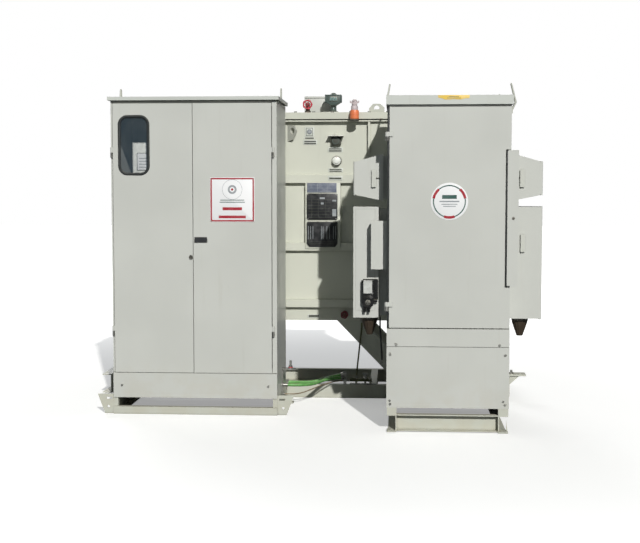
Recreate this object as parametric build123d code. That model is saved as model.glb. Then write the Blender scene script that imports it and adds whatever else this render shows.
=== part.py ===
from build123d import *
import os
from math import pi, radians, tan

# Skid-mounted unit substation: a medium-voltage switchgear cubicle on the left, an oil-filled
# transformer in the middle and a low-voltage cabinet on the right, all on one steel skid.
# Millimetres. +X to the right, +Y to the back, +Z up. The origin is on the ground, at the
# middle of the footprint.

# ---- driving dimensions -------------------------------------------------------------------
HALF_LENGTH = 1565          # from the middle to the tips of the end channel and of the tie-down lug
HALF_DEPTH = 1175           # from the middle to the front feet and to the radiators' stay bars
SHEET = 4                   # cabinet sheet, with its folded edges
DOOR_THICK = 20             # cabinet doors, folded pans
DOOR_GAP = 0.6              # running gap between a door and its frame
SEAM = 4                    # gap between two door leaves
WEB = 7                     # web and flanges of the rolled channels

# skid
RAIL_HEIGHT = 100
RAIL_WIDTH = 50
FRONT_RAIL_Y = 57
REAR_RAIL_Y = 820
END_HEIGHT = 140
END_LIFT = 27
LEFT_WEB_X = -1502
RIGHT_END_X = 1447
END_FRONT_Y = 20
END_BACK_Y = 890
CROSS_X = 450

# medium-voltage cubicle
MV_X = (-1318, -188)
MV_Y = (-665, -15)
MV_BOTTOM = 115
MV_DOOR_Z = (290, 2120)
MV_TOP = 2134
MV_ROOF_Z = (2140, 2164)
MV_ROOF_X = (-1335, -172)
MV_ROOF_FRONT = -682
MV_DOOR_X = (-1303, -223)
MV_SEAM_X = -758
MV_BASE_X = (-1396, -74)
MV_BASE_FRONT_HEIGHT = 52
MV_STRIP_Y = MV_Y[0] + 10
MV_HINGE_Z = (575, 1790)
MV_HINGE_HEIGHT = 70
MV_HINGE_Y = MV_Y[0] + 1
MV_HINGE_X = (MV_X[0] + 5, MV_DOOR_X[1] + 12)
HANDLE_X = (-752, -660)
HANDLE_Z = (1178, 1218)
MV_LOCK = (-772, 1082)
RMU_X = (-1240, -300)
RMU_Y = (-500, -90)
RMU_Z = (700, 1480)
RMU_DIAL_X = (-1010, -530)
RMU_DIAL_Z = 1260
MV_CABLE_X = (-930, -720, -510)
MV_CABLE_Y = -330
MV_SLOT_X = (-1010, -430)
MV_SLOT_Y = (-390, -270)
METER_X = (-1190, -960)
METER_Y = (-560, -450)
METER_Z = (1600, 1860)
WINDOW_X = (-1264, -1053)
WINDOW_Z = (1638, 2039)
WINDOW_CORNER = 46

# low-voltage cabinet
LV_X = (560, 1334)
LV_Y = (-1156, -156)
LV_BOTTOM = 155
LV_PANEL_TOP = 545
LV_FLOOR = 655
LV_DOOR_X = (574, 1333)
LV_DOOR_Z = (667, 2057)
LV_TOP = 2071
LV_ROOF_TOP = 2128
LV_ROOF_X = (552, 1343)
LV_ROOF_FRONT = -1168
LV_NOTCH_X = 1299
LV_NOTCH_Z = (926, 1790)
LV_LOCK_STRIP_X = (1303, 1380)
LV_LOCK_STRIP_Z = (930, 1786)
LV_BASE_X = (565, 1323)
LV_CENTRE = (LV_X[0] + LV_X[1]) / 2
LV_HINGE_X = 558
LV_HINGE_Y = LV_Y[0] - 4
LV_HINGE_Z = (801, 1872)
LV_HINGE_HEIGHT = 57
LV_LOCK = (1349, 1361)
BREAKER_Y = (-420, -300)
MAIN_X = (840, 1060)
MAIN_Z = (1560, 1860)
FEEDER_X = (700, 960)
FEEDER_WIDTH = 150
FEEDER_Z = (1060, 1300)
LEVER_NAMES = ("main_breaker_lever", "feeder_lever_a", "feeder_lever_b")

# side boxes on the low-voltage cabinet, front faces and reach from its centre line
SIDE_FRONT_Y = -950
SIDE_DEPTH = 300
SIDE_OUT = 607
HOOD_NEAR_Z = (1468, 1770)
HOOD_FAR_Z = (1508, 1716)
LOWER_Z = (708, 1429)
SIDE_DOOR = 18
HALF_DOOR = SIDE_DOOR / 2
SIDE_BODY_FRONT = SIDE_FRONT_Y + SIDE_DOOR + 0.6
COLLAR = 28
LOWER_COLLAR = 56
HOOD_NEAR = LV_CENTRE - LV_X[0] + COLLAR
HOOD_HANDLE = (475, 1612)
LOWER_HANDLE = (482, 1196)
LEVER = (28, 112, 15)

# small box, socket and cable boots beside the low-voltage cabinet
AUX_X = (457, 560)
AUX_Y = (-1050, -985)
AUX_Z = (1030, 1340)
SOCKET_X = (396, 476)
SOCKET_Y = (-1010, SIDE_FRONT_Y)
SOCKET_Z = (760, 960)
BOOT_SIDES = ((-1, 502), (1, 478))
BOOT_Y = SIDE_FRONT_Y + 90
BOOT_R = (20, 53)

# transformer
TANK_X = (-640, 800)
TANK_Y = (90, 780)
TANK_Z = (574, 2045)
TANK_WALL = 6
FLANGE_OUT = 40
FLANGE_THICK = 12
GASKET = 6
COVER_TOP = 2099
COVER_OUT = 55
COVER_PLATE = 12
RIB_Z = (673, 1091, 1587)
RIB_HEIGHT = 56
RIB_OUT = 36
LIMB_PITCH = 420
LIMB = 150
CORE_Y = 435
CORE_Z = (700, 1710)
LV_COIL_R = (112, 146)
HV_COIL_R = (164, 200)
COIL_Z = (875, 1535)
FIN = 10
FIN_PITCH = 46
FIN_COUNT = 10
FIN_Y = (850, 1160)
FIN_Z = (790, 1890)
TANK_MIDDLE = (TANK_X[0] + TANK_X[1]) / 2
RADIATOR_X = (TANK_MIDDLE - 340, TANK_MIDDLE + 340)
HV_DUCT_X = (-600, -300)
HV_DUCT_Z = (1310, 1580)
THROAT_X = (580, 780)
THROAT_Z = (1800, 2010)

# gauges and valves, each at its place in X and Y, or in X and Z on the tank's front
RELAY = (149, 200)
FILL_VALVE = (-38, 150)
RELIEF = (312, -5)
DRAIN = (240, 622)
TAP = (179, 1748)
GAUGE_X = (117, 229)
GAUGE_Z = (1850, 1935)
RATING_X = (-49, 208)
RATING_Z = (1106, 1590)

# earthing, and the cables that run between fixed ends
EARTH_Y = -300
POST_X = (232, 252)
BAR_X = (278, 472)
GREEN_R = 11
EARTH_CABLE = [(-148, -300, 153), (-106, -300, 153), (-64, -289, 151), (-26, -266, 149), (7, -232, 147),
               (34, -188, 146), (57, -134, 146), (79, -78, 147), (105, -28, 149), (137, 9, 151),
               (173, 32, 152), (213, 47, 153)]
EARTH_CABLE_REAR = [(-176, 86, 111.6), (-134, 86, 111.6), (-88, 82, 111.6), (-40, 80, 112), (6, 83, 116),
                    (52, 87, 125), (96, 90, 138), (138, 90, 151), (176, 88, 162), (212, 84, 170)]
LEAD_R = 4
EARTH_LEAD = [(-172, -298, 88), (-140, -298, 87), (-100, -284, 85), (-62, -252, 86), (-26, -208, 91),
              (12, -154, 99), (52, -96, 108), (94, -42, 117), (138, 4, 124), (182, 38, 128), (224, 58, 130)]
DROP_R = 6
DROP_CABLE = [(366, 74, 560), (365, 74, 525), (361, 72, 478), (354, 71, 425), (349, 72, 370),
              (343, 73, 315), (337, 75, 262), (332, 77, 212), (329, 78, 165)]
CONTROL_R = 5.5
CONTROL_CABLE = [(513, -800, 700), (513, -800, 668), (514, -801, 620), (517, -802, 566), (521, -801, 510),
                 (525, -798, 458), (526, -797, 410)]

# hardware
PIN_R = 3.0
PIN_GAP = 0.08
BOLT_R = 8
LOOP_R = 5
MV_LOOP_Y = -340
HOOK_X = -172
HOOK_TURN = 50

PARTS = {}


# ---- small builders -----------------------------------------------------------------------
def block(x, y, z):
    """A box between two corners, each axis given as a (low, high) pair."""
    size = Box(x[1] - x[0], y[1] - y[0], z[1] - z[0])
    return Pos((x[0] + x[1]) / 2, (y[0] + y[1]) / 2, (z[0] + z[1]) / 2) * size


def span(first, second):
    """The two numbers as a (low, high) pair."""
    return (min(first, second), max(first, second))


def rod(start, end, radius):
    """A round bar from one point to another."""
    start, end = Vector(*start), Vector(*end)
    solid = Cylinder(radius, (end - start).length, align=(Align.CENTER, Align.CENTER, Align.MIN))
    return Plane(origin=start, z_dir=end - start) * solid


def cone(start, end, start_radius, end_radius):
    """A tapered round bar from one point to another."""
    start, end = Vector(*start), Vector(*end)
    length = (end - start).length
    solid = Cone(start_radius, end_radius, length, align=(Align.CENTER, Align.CENTER, Align.MIN))
    return Plane(origin=start, z_dir=end - start) * solid


def front_profile(points, y):
    """A flat outline in X and Z, extruded along Y between two depths."""
    outline = make_face(Polyline(*[(px, pz) for px, pz in points], close=True))
    solid = extrude(outline, y[1] - y[0])
    return Plane(origin=(0, y[1], 0), x_dir=(1, 0, 0), z_dir=(0, -1, 0)) * solid


def side_profile(points, x):
    """A flat outline in Y and Z, extruded along X between two places."""
    outline = make_face(Polyline(*[(py, pz) for py, pz in points], close=True))
    solid = extrude(outline, x[1] - x[0])
    return Plane(origin=(x[0], 0, 0), x_dir=(0, 1, 0), z_dir=(1, 0, 0)) * solid


def channel_along_x(x, y, z, open_to):
    """A rolled channel lying along X, open to the front (-1) or to the back (+1)."""
    inner_y = (y[0] - 1, y[1] - WEB) if open_to < 0 else (y[0] + WEB, y[1] + 1)
    return block(x, y, z) - block((x[0] - 1, x[1] + 1), inner_y, (z[0] + WEB, z[1] - WEB))


def channel_along_y(x, y, z, open_to):
    """A rolled channel lying along Y, open to the left (-1) or to the right (+1)."""
    inner_x = (x[0] - 1, x[1] - WEB) if open_to < 0 else (x[0] + WEB, x[1] + 1)
    return block(x, y, z) - block(inner_x, (y[0] - 1, y[1] + 1), (z[0] + WEB, z[1] - WEB))


def group(*solids):
    """Several separate solids kept in one node."""
    return Compound(children=[piece for solid in solids for piece in solid.solids()])


def pan_door(x, y, z, wall=3):
    """A folded sheet door: a flat front with edges turned back."""
    pocket = block((x[0] + wall, x[1] - wall), (y[0] + wall, y[1] + 1), (z[0] + wall, z[1] - wall))
    return block(x, y, z) - pocket


def bolt_head(centre, direction, radius=BOLT_R, length=6):
    """A hexagon head whose outer face points along a direction."""
    hexagon = extrude(RegularPolygon(radius, 6), length)
    return Plane(origin=Vector(*centre), z_dir=Vector(*direction)) * hexagon


# ---- skid ---------------------------------------------------------------------------------
def skid():
    rail_z = (0, RAIL_HEIGHT)
    rail_x = (LEFT_WEB_X + WEB, RIGHT_END_X - 60)
    front = channel_along_x(rail_x, (FRONT_RAIL_Y, FRONT_RAIL_Y + RAIL_WIDTH), rail_z, +1)
    rear = channel_along_x(rail_x, (REAR_RAIL_Y, REAR_RAIL_Y + RAIL_WIDTH), rail_z, -1)
    PARTS["skid_rails"] = group(front, rear)

    end_z = (END_LIFT, END_LIFT + END_HEIGHT)
    end_y = (END_FRONT_Y, END_BACK_Y)
    left = channel_along_y((-HALF_LENGTH, LEFT_WEB_X + WEB), end_y, end_z, -1)
    right = channel_along_y((RIGHT_END_X - 60, RIGHT_END_X), end_y, end_z, -1)
    inner_y = (FRONT_RAIL_Y + RAIL_WIDTH, REAR_RAIL_Y)
    inner = [channel_along_y((x - 25, x + 25), inner_y, rail_z, +1) for x in (-CROSS_X, CROSS_X)]
    lug_z = (END_LIFT + END_HEIGHT + 14, END_LIFT + END_HEIGHT + 26)
    lug_y = (END_FRONT_Y, END_FRONT_Y + 110)
    eye = (HALF_LENGTH - 32, END_FRONT_Y + 55)
    lug = block((RIGHT_END_X - 40, HALF_LENGTH), lug_y, lug_z)
    lug -= rod((*eye, lug_z[0] - 1), (*eye, lug_z[1] + 1), 13)
    riser = block((RIGHT_END_X - 40, RIGHT_END_X - 28), lug_y, (end_z[1], lug_z[0]))
    gusset_points = [(RIGHT_END_X, end_z[1] - 50), (RIGHT_END_X, lug_z[0]), (RIGHT_END_X + 70, lug_z[0])]
    gusset = front_profile(gusset_points, (END_FRONT_Y + 10, END_FRONT_Y + 18))
    PARTS["skid_cross_members"] = group(left, right + riser + lug + gusset, *inner)


def end_plate(x_wide, x_narrow, x_cabinet, y, z_top, slot_x, hole_x):
    """The tapered end plate of a cabinet's base, with a slot and an anchor hole."""
    points = [(x_cabinet, 0), (x_narrow, 0), (x_wide, z_top), (x_cabinet, z_top)]
    plate = front_profile(points, y)
    plate -= block((slot_x - 20, slot_x + 20), (y[0] - 1, y[1] + 1), (z_top - 36, z_top - 22))
    return plate - rod((hole_x, y[0] - 1, 48), (hole_x, y[1] + 1, 48), 9)


def anchor_foot(x, y, thick=10):
    """A foot plate on the ground with its anchor hole."""
    middle_x = (x[0] + x[1]) / 2
    middle_y = (y[0] + y[1]) / 2
    return block(x, y, (0, thick)), rod((middle_x, middle_y, -1), (middle_x, middle_y, thick + 1), 11)


def mv_base():
    front_y = (MV_Y[0], MV_Y[0] + 46)
    front = block(MV_X, front_y, (0, MV_BASE_FRONT_HEIGHT))
    hollow = ((MV_X[0] + 8, MV_X[1] - 8), (front_y[0] + 7, front_y[1] + 1), (7, MV_BASE_FRONT_HEIGHT - 7))
    front -= block(*hollow)
    side_y = (front_y[1], FRONT_RAIL_Y)
    side_z = (0, MV_BOTTOM)
    left = channel_along_y((MV_X[0], MV_X[0] + 50), side_y, side_z, +1)
    right = channel_along_y((MV_X[1] - 50, MV_X[1]), side_y, side_z, -1)
    posts = [block((x, x + 30), (front_y[0] + 12, front_y[1]), (MV_BASE_FRONT_HEIGHT, MV_BOTTOM))
             for x in (MV_X[0], MV_X[1] - 30)]
    tie_y = (MV_Y[1] - 20, MV_Y[1])
    tie = block((MV_X[0] + 50, MV_X[1] - 50), tie_y, (MV_BOTTOM - 50, MV_BOTTOM))
    plate_y = (MV_Y[0] + 16, MV_Y[0] + 24)
    top = 136
    base = front + left + right + tie + posts[0] + posts[1]
    base += end_plate(MV_BASE_X[1], MV_BASE_X[1] - 51, MV_X[1], plate_y, top, MV_X[1] + 33, MV_X[1] + 40)
    base += end_plate(MV_BASE_X[0] - 36, MV_BASE_X[0] + 15, MV_X[0], plate_y, top, MV_X[0] - 33, MV_X[0] - 40)
    for x in (MV_X[0] - 70, MV_X[1]):
        foot, hole = anchor_foot((x, x + 70), (-200, -130))
        base = base + foot - hole
    return base


def lv_base():
    channel_y = (LV_Y[0], LV_Y[0] + RAIL_WIDTH)
    top = 112
    front = channel_along_x((LV_BASE_X[0] + 60, LV_BASE_X[1] - 56), channel_y, (4, top), -1)
    side_y = (LV_Y[0], FRONT_RAIL_Y)
    side_z = (0, LV_BOTTOM)
    left = channel_along_y((LV_BASE_X[0] + 6, LV_BASE_X[0] + 60), side_y, side_z, -1)
    right = channel_along_y((LV_BASE_X[1] - 56, LV_BASE_X[1] - 2), side_y, side_z, +1)
    foot_y = (-HALF_DEPTH, LV_Y[0] + 60)
    foot_left, hole_left = anchor_foot((LV_BASE_X[0] - 2, LV_BASE_X[0] + 60), foot_y)
    foot_right, hole_right = anchor_foot((LV_BASE_X[1] - 56, LV_BASE_X[1] + 6), foot_y)
    gusset_y = (LV_Y[0] + 30, LV_Y[0] + 38)
    gusset_points = [(LV_BASE_X[1] - 2, 10), (LV_BASE_X[1] + 6, 10), (LV_BASE_X[1] - 2, 80)]
    gusset = front_profile(gusset_points, gusset_y)
    cap_y = (LV_Y[0] - 1, LV_Y[0] + 5)
    cap_left = block((LV_BASE_X[0] - 2, LV_BASE_X[0] + 60), cap_y, (104, LV_BOTTOM))
    cap_right = block((LV_BASE_X[1] - 56, LV_BASE_X[1] + 8), cap_y, (104, LV_BOTTOM))
    rear_y = (LV_Y[1] - 40, LV_Y[1])
    rear = block((LV_BASE_X[0] + 60, LV_BASE_X[1] - 56), rear_y, (LV_BOTTOM - 50, LV_BOTTOM))
    base = front + left + right + foot_left + foot_right + gusset + cap_left + cap_right + rear
    return base - hole_left - hole_right


def brace(inner_x, side, reach, y):
    """A diagonal from the tank's underside down towards a leg, as a channel open inwards."""
    wide = 184
    slope = 1.035
    top = TANK_Z[0]
    drop = 700

    def strip(grow):
        start = inner_x - side * (reach - grow)
        end = inner_x - side * (reach - wide + grow)
        fall = side * drop / slope
        return [(start, top), (end, top), (end + fall, top - drop), (start + fall, top - drop)]
    deep = (y[0] + 8, y[1] + 1) if y[0] < CORE_Y else (y[0] - 1, y[1] - 8)
    bar = front_profile(strip(0), y) - front_profile(strip(11), deep)
    return bar & block(span(inner_x + side * 2, inner_x - side * (reach + 1)), y, (RAIL_HEIGHT, top))


def tank_stand():
    leg = 80
    pieces = []
    left_leg = (TANK_X[0], TANK_X[0] + leg)
    right_leg = (TANK_X[1] - leg, TANK_X[1])
    rear_edge = REAR_RAIL_Y + RAIL_WIDTH
    for y in ((FRONT_RAIL_Y, FRONT_RAIL_Y + leg), (rear_edge - leg, rear_edge)):
        brace_y = (TANK_Y[0], TANK_Y[0] + 60) if y[0] < CORE_Y else (TANK_Y[1] - 40, TANK_Y[1] + 20)
        for x, inner_x, side, reach in ((left_leg, left_leg[1], -1, 344), (right_leg, right_leg[0], 1, 537)):
            post = block(x, y, (RAIL_HEIGHT, TANK_Z[0]))
            post -= block((x[0] + 6, x[1] - 6), (y[0] + 6, y[1] - 6), (RAIL_HEIGHT - 1, TANK_Z[0] - 6))
            pieces.append(post + brace(inner_x, side, reach, brace_y))
    for x in (left_leg, right_leg):
        tie_y = (FRONT_RAIL_Y + leg, rear_edge - leg)
        pieces.append(block((x[0] + 20, x[1] - 20), tie_y, (260, 300)))
    PARTS["tank_stand"] = group(*pieces)


# ---- medium-voltage cubicle ---------------------------------------------------------------
def mv_shell():
    front = MV_Y[0] + DOOR_THICK + DOOR_GAP
    z = (MV_BOTTOM, MV_TOP)
    shell = block(MV_X, (front, MV_Y[1]), z)
    inside_x = (MV_X[0] + SHEET, MV_X[1] - SHEET)
    shell -= block(inside_x, (front - 1, MV_Y[1] - SHEET), (MV_DOOR_Z[0] - 10, MV_TOP - SHEET))
    shell -= block(inside_x, (front - 1, MV_Y[1] - SHEET), (MV_BOTTOM - 1, MV_DOOR_Z[0] - 10 - SHEET))
    sill = block(inside_x, (front, front + 30), (MV_DOOR_Z[0] - 10, MV_DOOR_Z[0] + 20))
    header = block(inside_x, (front, front + 30), (MV_DOOR_Z[1] - 20, MV_TOP - SHEET))
    left_jamb = block((MV_X[0], MV_DOOR_X[0] - 5), (MV_STRIP_Y, front), (MV_DOOR_Z[0], MV_TOP))
    right_jamb = block((MV_DOOR_X[1] + 4, MV_X[1]), (MV_STRIP_Y, front), (MV_DOOR_Z[0], MV_TOP))
    jamb_z = (MV_DOOR_Z[0] + 20, MV_TOP - 20)
    jamb_back = block((MV_DOOR_X[1] + 4, MV_X[1] - SHEET), (front, front + 30), jamb_z)
    shell -= block(MV_SLOT_X, MV_SLOT_Y, (MV_DOOR_Z[0] - 20, MV_DOOR_Z[0]))
    shell -= block((-590, -310), (MV_Y[1] - SHEET - 1, MV_Y[1] + 1), (1310, 1690))
    PARTS["mv_shell"] = shell + sill + header + left_jamb + right_jamb + jamb_back

    roof = block(MV_ROOF_X, (MV_ROOF_FRONT, MV_Y[1] + 12), MV_ROOF_Z)
    under_roof_x = (MV_ROOF_X[0] + 3, MV_ROOF_X[1] - 3)
    roof -= block(under_roof_x, (MV_ROOF_FRONT + 3, MV_Y[1] + 9), (MV_ROOF_Z[0] - 1, MV_ROOF_Z[1] - 3))
    spacer_x = (MV_X[0] + 40, MV_X[1] - 40)
    roof += block(spacer_x, (MV_Y[0] + 60, MV_Y[1] - 40), (MV_TOP, MV_ROOF_Z[1] - 2))
    PARTS["mv_roof"] = roof


def hinge_pair(x, y, z, radius, leaf_fixed, leaf_moving):
    """A lift-off hinge: the fixed lower knuckle with its pin, and the door's upper knuckle."""
    middle = (z[0] + z[1]) / 2
    pin = radius * 0.5
    fixed = rod((x, y, z[0]), (x, y, middle - 0.4), radius) + rod((x, y, middle - 1), (x, y, z[1] - 4), pin)
    fixed += block(*leaf_fixed, (z[0], middle - 0.4))
    moving = rod((x, y, middle + 0.4), (x, y, z[1]), radius)
    moving += block(*leaf_moving, (middle + 0.4, z[1]))
    moving -= rod((x, y, middle), (x, y, z[1] - 3.5), pin + PIN_GAP)
    return fixed, moving


def rounded_window(x, z, y, corner):
    """A rectangle with round corners, extruded through a door."""
    outline = RectangleRounded(x[1] - x[0], z[1] - z[0], corner)
    solid = extrude(outline, y[1] - y[0])
    plane = Plane(origin=((x[0] + x[1]) / 2, y[1], (z[0] + z[1]) / 2), x_dir=(1, 0, 0), z_dir=(0, -1, 0))
    return plane * solid


def mv_doors():
    door_y = (MV_Y[0], MV_Y[0] + DOOR_THICK)
    left = pan_door((MV_DOOR_X[0], MV_SEAM_X - SEAM / 2), door_y, MV_DOOR_Z)
    right = pan_door((MV_SEAM_X + SEAM / 2, MV_DOOR_X[1]), door_y, MV_DOOR_Z)

    through = (door_y[0] - 1, door_y[1] + 1)
    rim_x = (WINDOW_X[0] + 4, WINDOW_X[1] - 4)
    rim_z = (WINDOW_Z[0] + 4, WINDOW_Z[1] - 4)
    frame = rounded_window(WINDOW_X, WINDOW_Z, (door_y[0] + 2, door_y[0] + 12), WINDOW_CORNER)
    left += frame
    opening = ((rim_x[0] + 4, rim_x[1] - 4), (rim_z[0] + 4, rim_z[1] - 4))
    left -= rounded_window(*opening, through, WINDOW_CORNER - 8)
    left -= rounded_window(rim_x, rim_z, (door_y[0] + 5, door_y[0] + 9.4), WINDOW_CORNER - 4)
    gap = 0.3
    glass_x = (rim_x[0] + gap, rim_x[1] - gap)
    glass_z = (rim_z[0] + gap, rim_z[1] - gap)
    glass_y = (door_y[0] + 5.2, door_y[0] + 9.2)
    PARTS["window_glass"] = rounded_window(glass_x, glass_z, glass_y, WINDOW_CORNER - 4.3)

    dish_y = (door_y[0] + 14, door_y[0] + 17)
    dish_z = (HANDLE_Z[0] - 3, HANDLE_Z[1] + 3)
    right += block((HANDLE_X[0] - 3, HANDLE_X[1] + 3), (door_y[0] + 2, dish_y[1]), dish_z)
    right -= block(HANDLE_X, (door_y[0] - 1, dish_y[0]), HANDLE_Z)
    pivot = (door_y[0] + 5, HANDLE_Z[1] - 5)
    for x in (HANDLE_X[0], HANDLE_X[1]):
        right += block((x - 3, x + 3), (door_y[0] + 1, door_y[0] + 14), (HANDLE_Z[1] - 12, HANDLE_Z[1] + 1))
    right += rod((HANDLE_X[0], *pivot), (HANDLE_X[1], *pivot), 1.6)
    paddle_y = (door_y[0] + 1.5, door_y[0] + 5.5)
    paddle = block((HANDLE_X[0] + 4, HANDLE_X[1] - 4), paddle_y, (HANDLE_Z[0] + 4, HANDLE_Z[1] - 5))
    paddle += rod((HANDLE_X[0] + 4, *pivot), (HANDLE_X[1] - 4, *pivot), 3.4)
    paddle -= rod((HANDLE_X[0], *pivot), (HANDLE_X[1], *pivot), 1.6 + PIN_GAP)
    PARTS["mv_handle"] = paddle

    lock_x, lock_z = MV_LOCK
    left += rod((lock_x, door_y[0] + 2, lock_z), (lock_x, door_y[1] - 2, lock_z), 15)
    left -= rod((lock_x, through[0], lock_z), (lock_x, through[1], lock_z), 11 + PIN_GAP)
    barrel = rod((lock_x, door_y[0] - 6, lock_z), (lock_x, door_y[1] - 3, lock_z), 11)
    barrel += rod((lock_x, door_y[0] - 9, lock_z), (lock_x, door_y[0] - 6, lock_z), 13.5)
    barrel -= block((lock_x - 1.2, lock_x + 1.2), (door_y[0] - 10, door_y[0] - 4), (lock_z - 5, lock_z + 5))
    PARTS["mv_lock"] = barrel

    fixed_all = []
    leaf_y = (MV_HINGE_Y - 1, MV_HINGE_Y + 5)
    left_leaf = ((MV_HINGE_X[0], MV_DOOR_X[0] + 2), leaf_y)
    right_leaf = ((MV_DOOR_X[1] - 2, MV_HINGE_X[1]), leaf_y)
    for z in MV_HINGE_Z:
        hinge_z = (z - MV_HINGE_HEIGHT / 2, z + MV_HINGE_HEIGHT / 2)
        knuckles = []
        for x, moving_leaf in zip(MV_HINGE_X, (left_leaf, right_leaf)):
            fixed_leaf = ((x - 3, x + 3), (MV_HINGE_Y, MV_STRIP_Y))
            fixed, moving = hinge_pair(x, MV_HINGE_Y, hinge_z, 7, fixed_leaf, moving_leaf)
            fixed_all.append(fixed)
            knuckles.append(moving)
        left += knuckles[0]
        right += knuckles[1]
    PARTS["mv_door_left"] = left
    PARTS["mv_door_right"] = right
    return fixed_all


def mv_inside():
    body = block(RMU_X, RMU_Y, RMU_Z)
    fascia = block((RMU_X[0] + 20, RMU_X[1] - 20), (RMU_Y[0] - 8, RMU_Y[0]), (RMU_Z[0] + 120, RMU_Z[1] - 20))
    for x in RMU_DIAL_X:
        front = (x, RMU_Y[0] - 9, RMU_DIAL_Z)
        fascia -= rod(front, (x, RMU_Y[0] + 1, RMU_DIAL_Z), 12 + PIN_GAP)
        body -= rod(front, (x, RMU_Y[0] + 32, RMU_DIAL_Z), 12 + PIN_GAP)
    legs = []
    for x in (RMU_X[0], RMU_X[1] - 40):
        for y in (RMU_Y[0], RMU_Y[1] - 40):
            legs.append(block((x, x + 40), (y, y + 40), (MV_DOOR_Z[0] - 10, RMU_Z[0])))
    frame = body + fascia
    for leg in legs:
        frame += leg
    boots = []
    neck_z = 490
    for centre in MV_CABLE_X:
        for step in (-62, 0, 62):
            place = (centre + step, MV_CABLE_Y)
            boot = rod((*place, neck_z), (*place, RMU_Z[0]), 24)
            boots.append(boot + cone((*place, neck_z - 60), (*place, neck_z), 14, 24))

    dials = []
    for number, x in enumerate(RMU_DIAL_X):
        y = RMU_Y[0] - 8.5
        dial = rod((x, y, RMU_DIAL_Z), (x, y - 10, RMU_DIAL_Z), 42)
        dial += rod((x, y - 1, RMU_DIAL_Z), (x, RMU_Y[0] + 30, RMU_DIAL_Z), 12)
        dial += block((x - 8, x + 8), (y - 34, y - 10), (RMU_DIAL_Z - 40, RMU_DIAL_Z + 40))
        PARTS["switch_dial_" + "ab"[number]] = dial

    box = block(METER_X, METER_Y, METER_Z)
    shelf_y = (METER_Y[0] - 10, METER_Y[1] + 10)
    shelf = block((METER_X[0] - 20, METER_X[1] + 20), shelf_y, (METER_Z[0] - 4, METER_Z[0]))
    posts = []
    for x in (METER_X[0], METER_X[1] - 20):
        posts.append(block((x, x + 20), (METER_Y[1] - 30, METER_Y[1] - 10), (RMU_Z[1], METER_Z[0] - 4)))
    PARTS["ring_main_unit"] = group(frame, *boots, box + shelf + posts[0] + posts[1])


# ---- low-voltage cabinet ------------------------------------------------------------------
def throat_bore(y):
    """The clear passage of the low-voltage throat, over a depth."""
    return block((THROAT_X[0] + 6, THROAT_X[1] - 6), y, (THROAT_Z[0] + 6, THROAT_Z[1] - 6))


def lv_shell():
    front = LV_Y[0] + DOOR_THICK + DOOR_GAP
    shell = block(LV_X, (front, LV_Y[1]), (LV_BOTTOM, LV_TOP))
    inside_x = (LV_X[0] + SHEET, LV_X[1] - SHEET)
    inside_y = (front - 1, LV_Y[1] - SHEET)
    shell -= block(inside_x, inside_y, (LV_FLOOR, LV_TOP - SHEET))
    shell -= block(inside_x, inside_y, (LV_BOTTOM - 1, LV_FLOOR - SHEET))
    plinth_front = block(inside_x, (front, front + 4), (LV_PANEL_TOP, LV_FLOOR - SHEET))
    fixed_panel = block(LV_X, (LV_Y[0], front), (LV_PANEL_TOP + 3, LV_FLOOR + 6))
    header = block((LV_X[0], LV_X[1]), (LV_Y[0] + 4, front), (LV_DOOR_Z[1] + 4, LV_TOP))
    jamb = block((LV_X[1] - 60, LV_X[1] - SHEET), (front, front + 30), (LV_FLOOR, LV_TOP - SHEET))
    strip = block(LV_LOCK_STRIP_X, (LV_Y[0] - 8, front), LV_LOCK_STRIP_Z)
    strip_inner_x = (LV_LOCK_STRIP_X[0] + 3, LV_LOCK_STRIP_X[1] - 3)
    strip_inner_z = (LV_LOCK_STRIP_Z[0] + 3, LV_LOCK_STRIP_Z[1] - 3)
    strip -= block(strip_inner_x, (LV_Y[0] - 5, front + 1), strip_inner_z)
    lock_x, lock_z = LV_LOCK
    strip += rod((lock_x, LV_Y[0] - 6, lock_z), (lock_x, LV_Y[0] + 14, lock_z), 14)
    strip -= rod((lock_x, LV_Y[0] - 9, lock_z), (lock_x, LV_Y[0] + 15, lock_z), 9 + PIN_GAP)
    strip += block((LV_X[1] - SHEET, LV_LOCK_STRIP_X[1] - 3), (front - 4, front), LV_LOCK_STRIP_Z)
    cable_slot = block((700, 1200), (-700, -400), (LV_FLOOR - SHEET - 1, LV_FLOOR + 1))
    body = shell + plinth_front + fixed_panel + header + jamb + strip
    PARTS["lv_shell"] = body - cable_slot - throat_bore((LV_Y[1] - SHEET - 1, LV_Y[1] + 1))

    barrel = rod((lock_x, LV_Y[0] - 11, lock_z), (lock_x, LV_Y[0] + 12, lock_z), 9)
    barrel -= block((lock_x - 1, lock_x + 1), (LV_Y[0] - 12, LV_Y[0] - 7), (lock_z - 4, lock_z + 4))
    PARTS["lv_lock"] = barrel

    roof = block(LV_ROOF_X, (LV_ROOF_FRONT, LV_Y[1] + 10), (LV_TOP, LV_ROOF_TOP))
    under_roof_x = (LV_ROOF_X[0] + 3, LV_ROOF_X[1] - 3)
    roof -= block(under_roof_x, (LV_ROOF_FRONT + 3, LV_Y[1] + 7), (LV_TOP - 1, LV_ROOF_TOP - 3))
    roof += block((LV_X[0] + 60, LV_X[1] - 60), (LV_Y[0] + 90, LV_Y[1] - 60), (LV_TOP, LV_ROOF_TOP - 2))
    PARTS["lv_roof"] = roof


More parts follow.
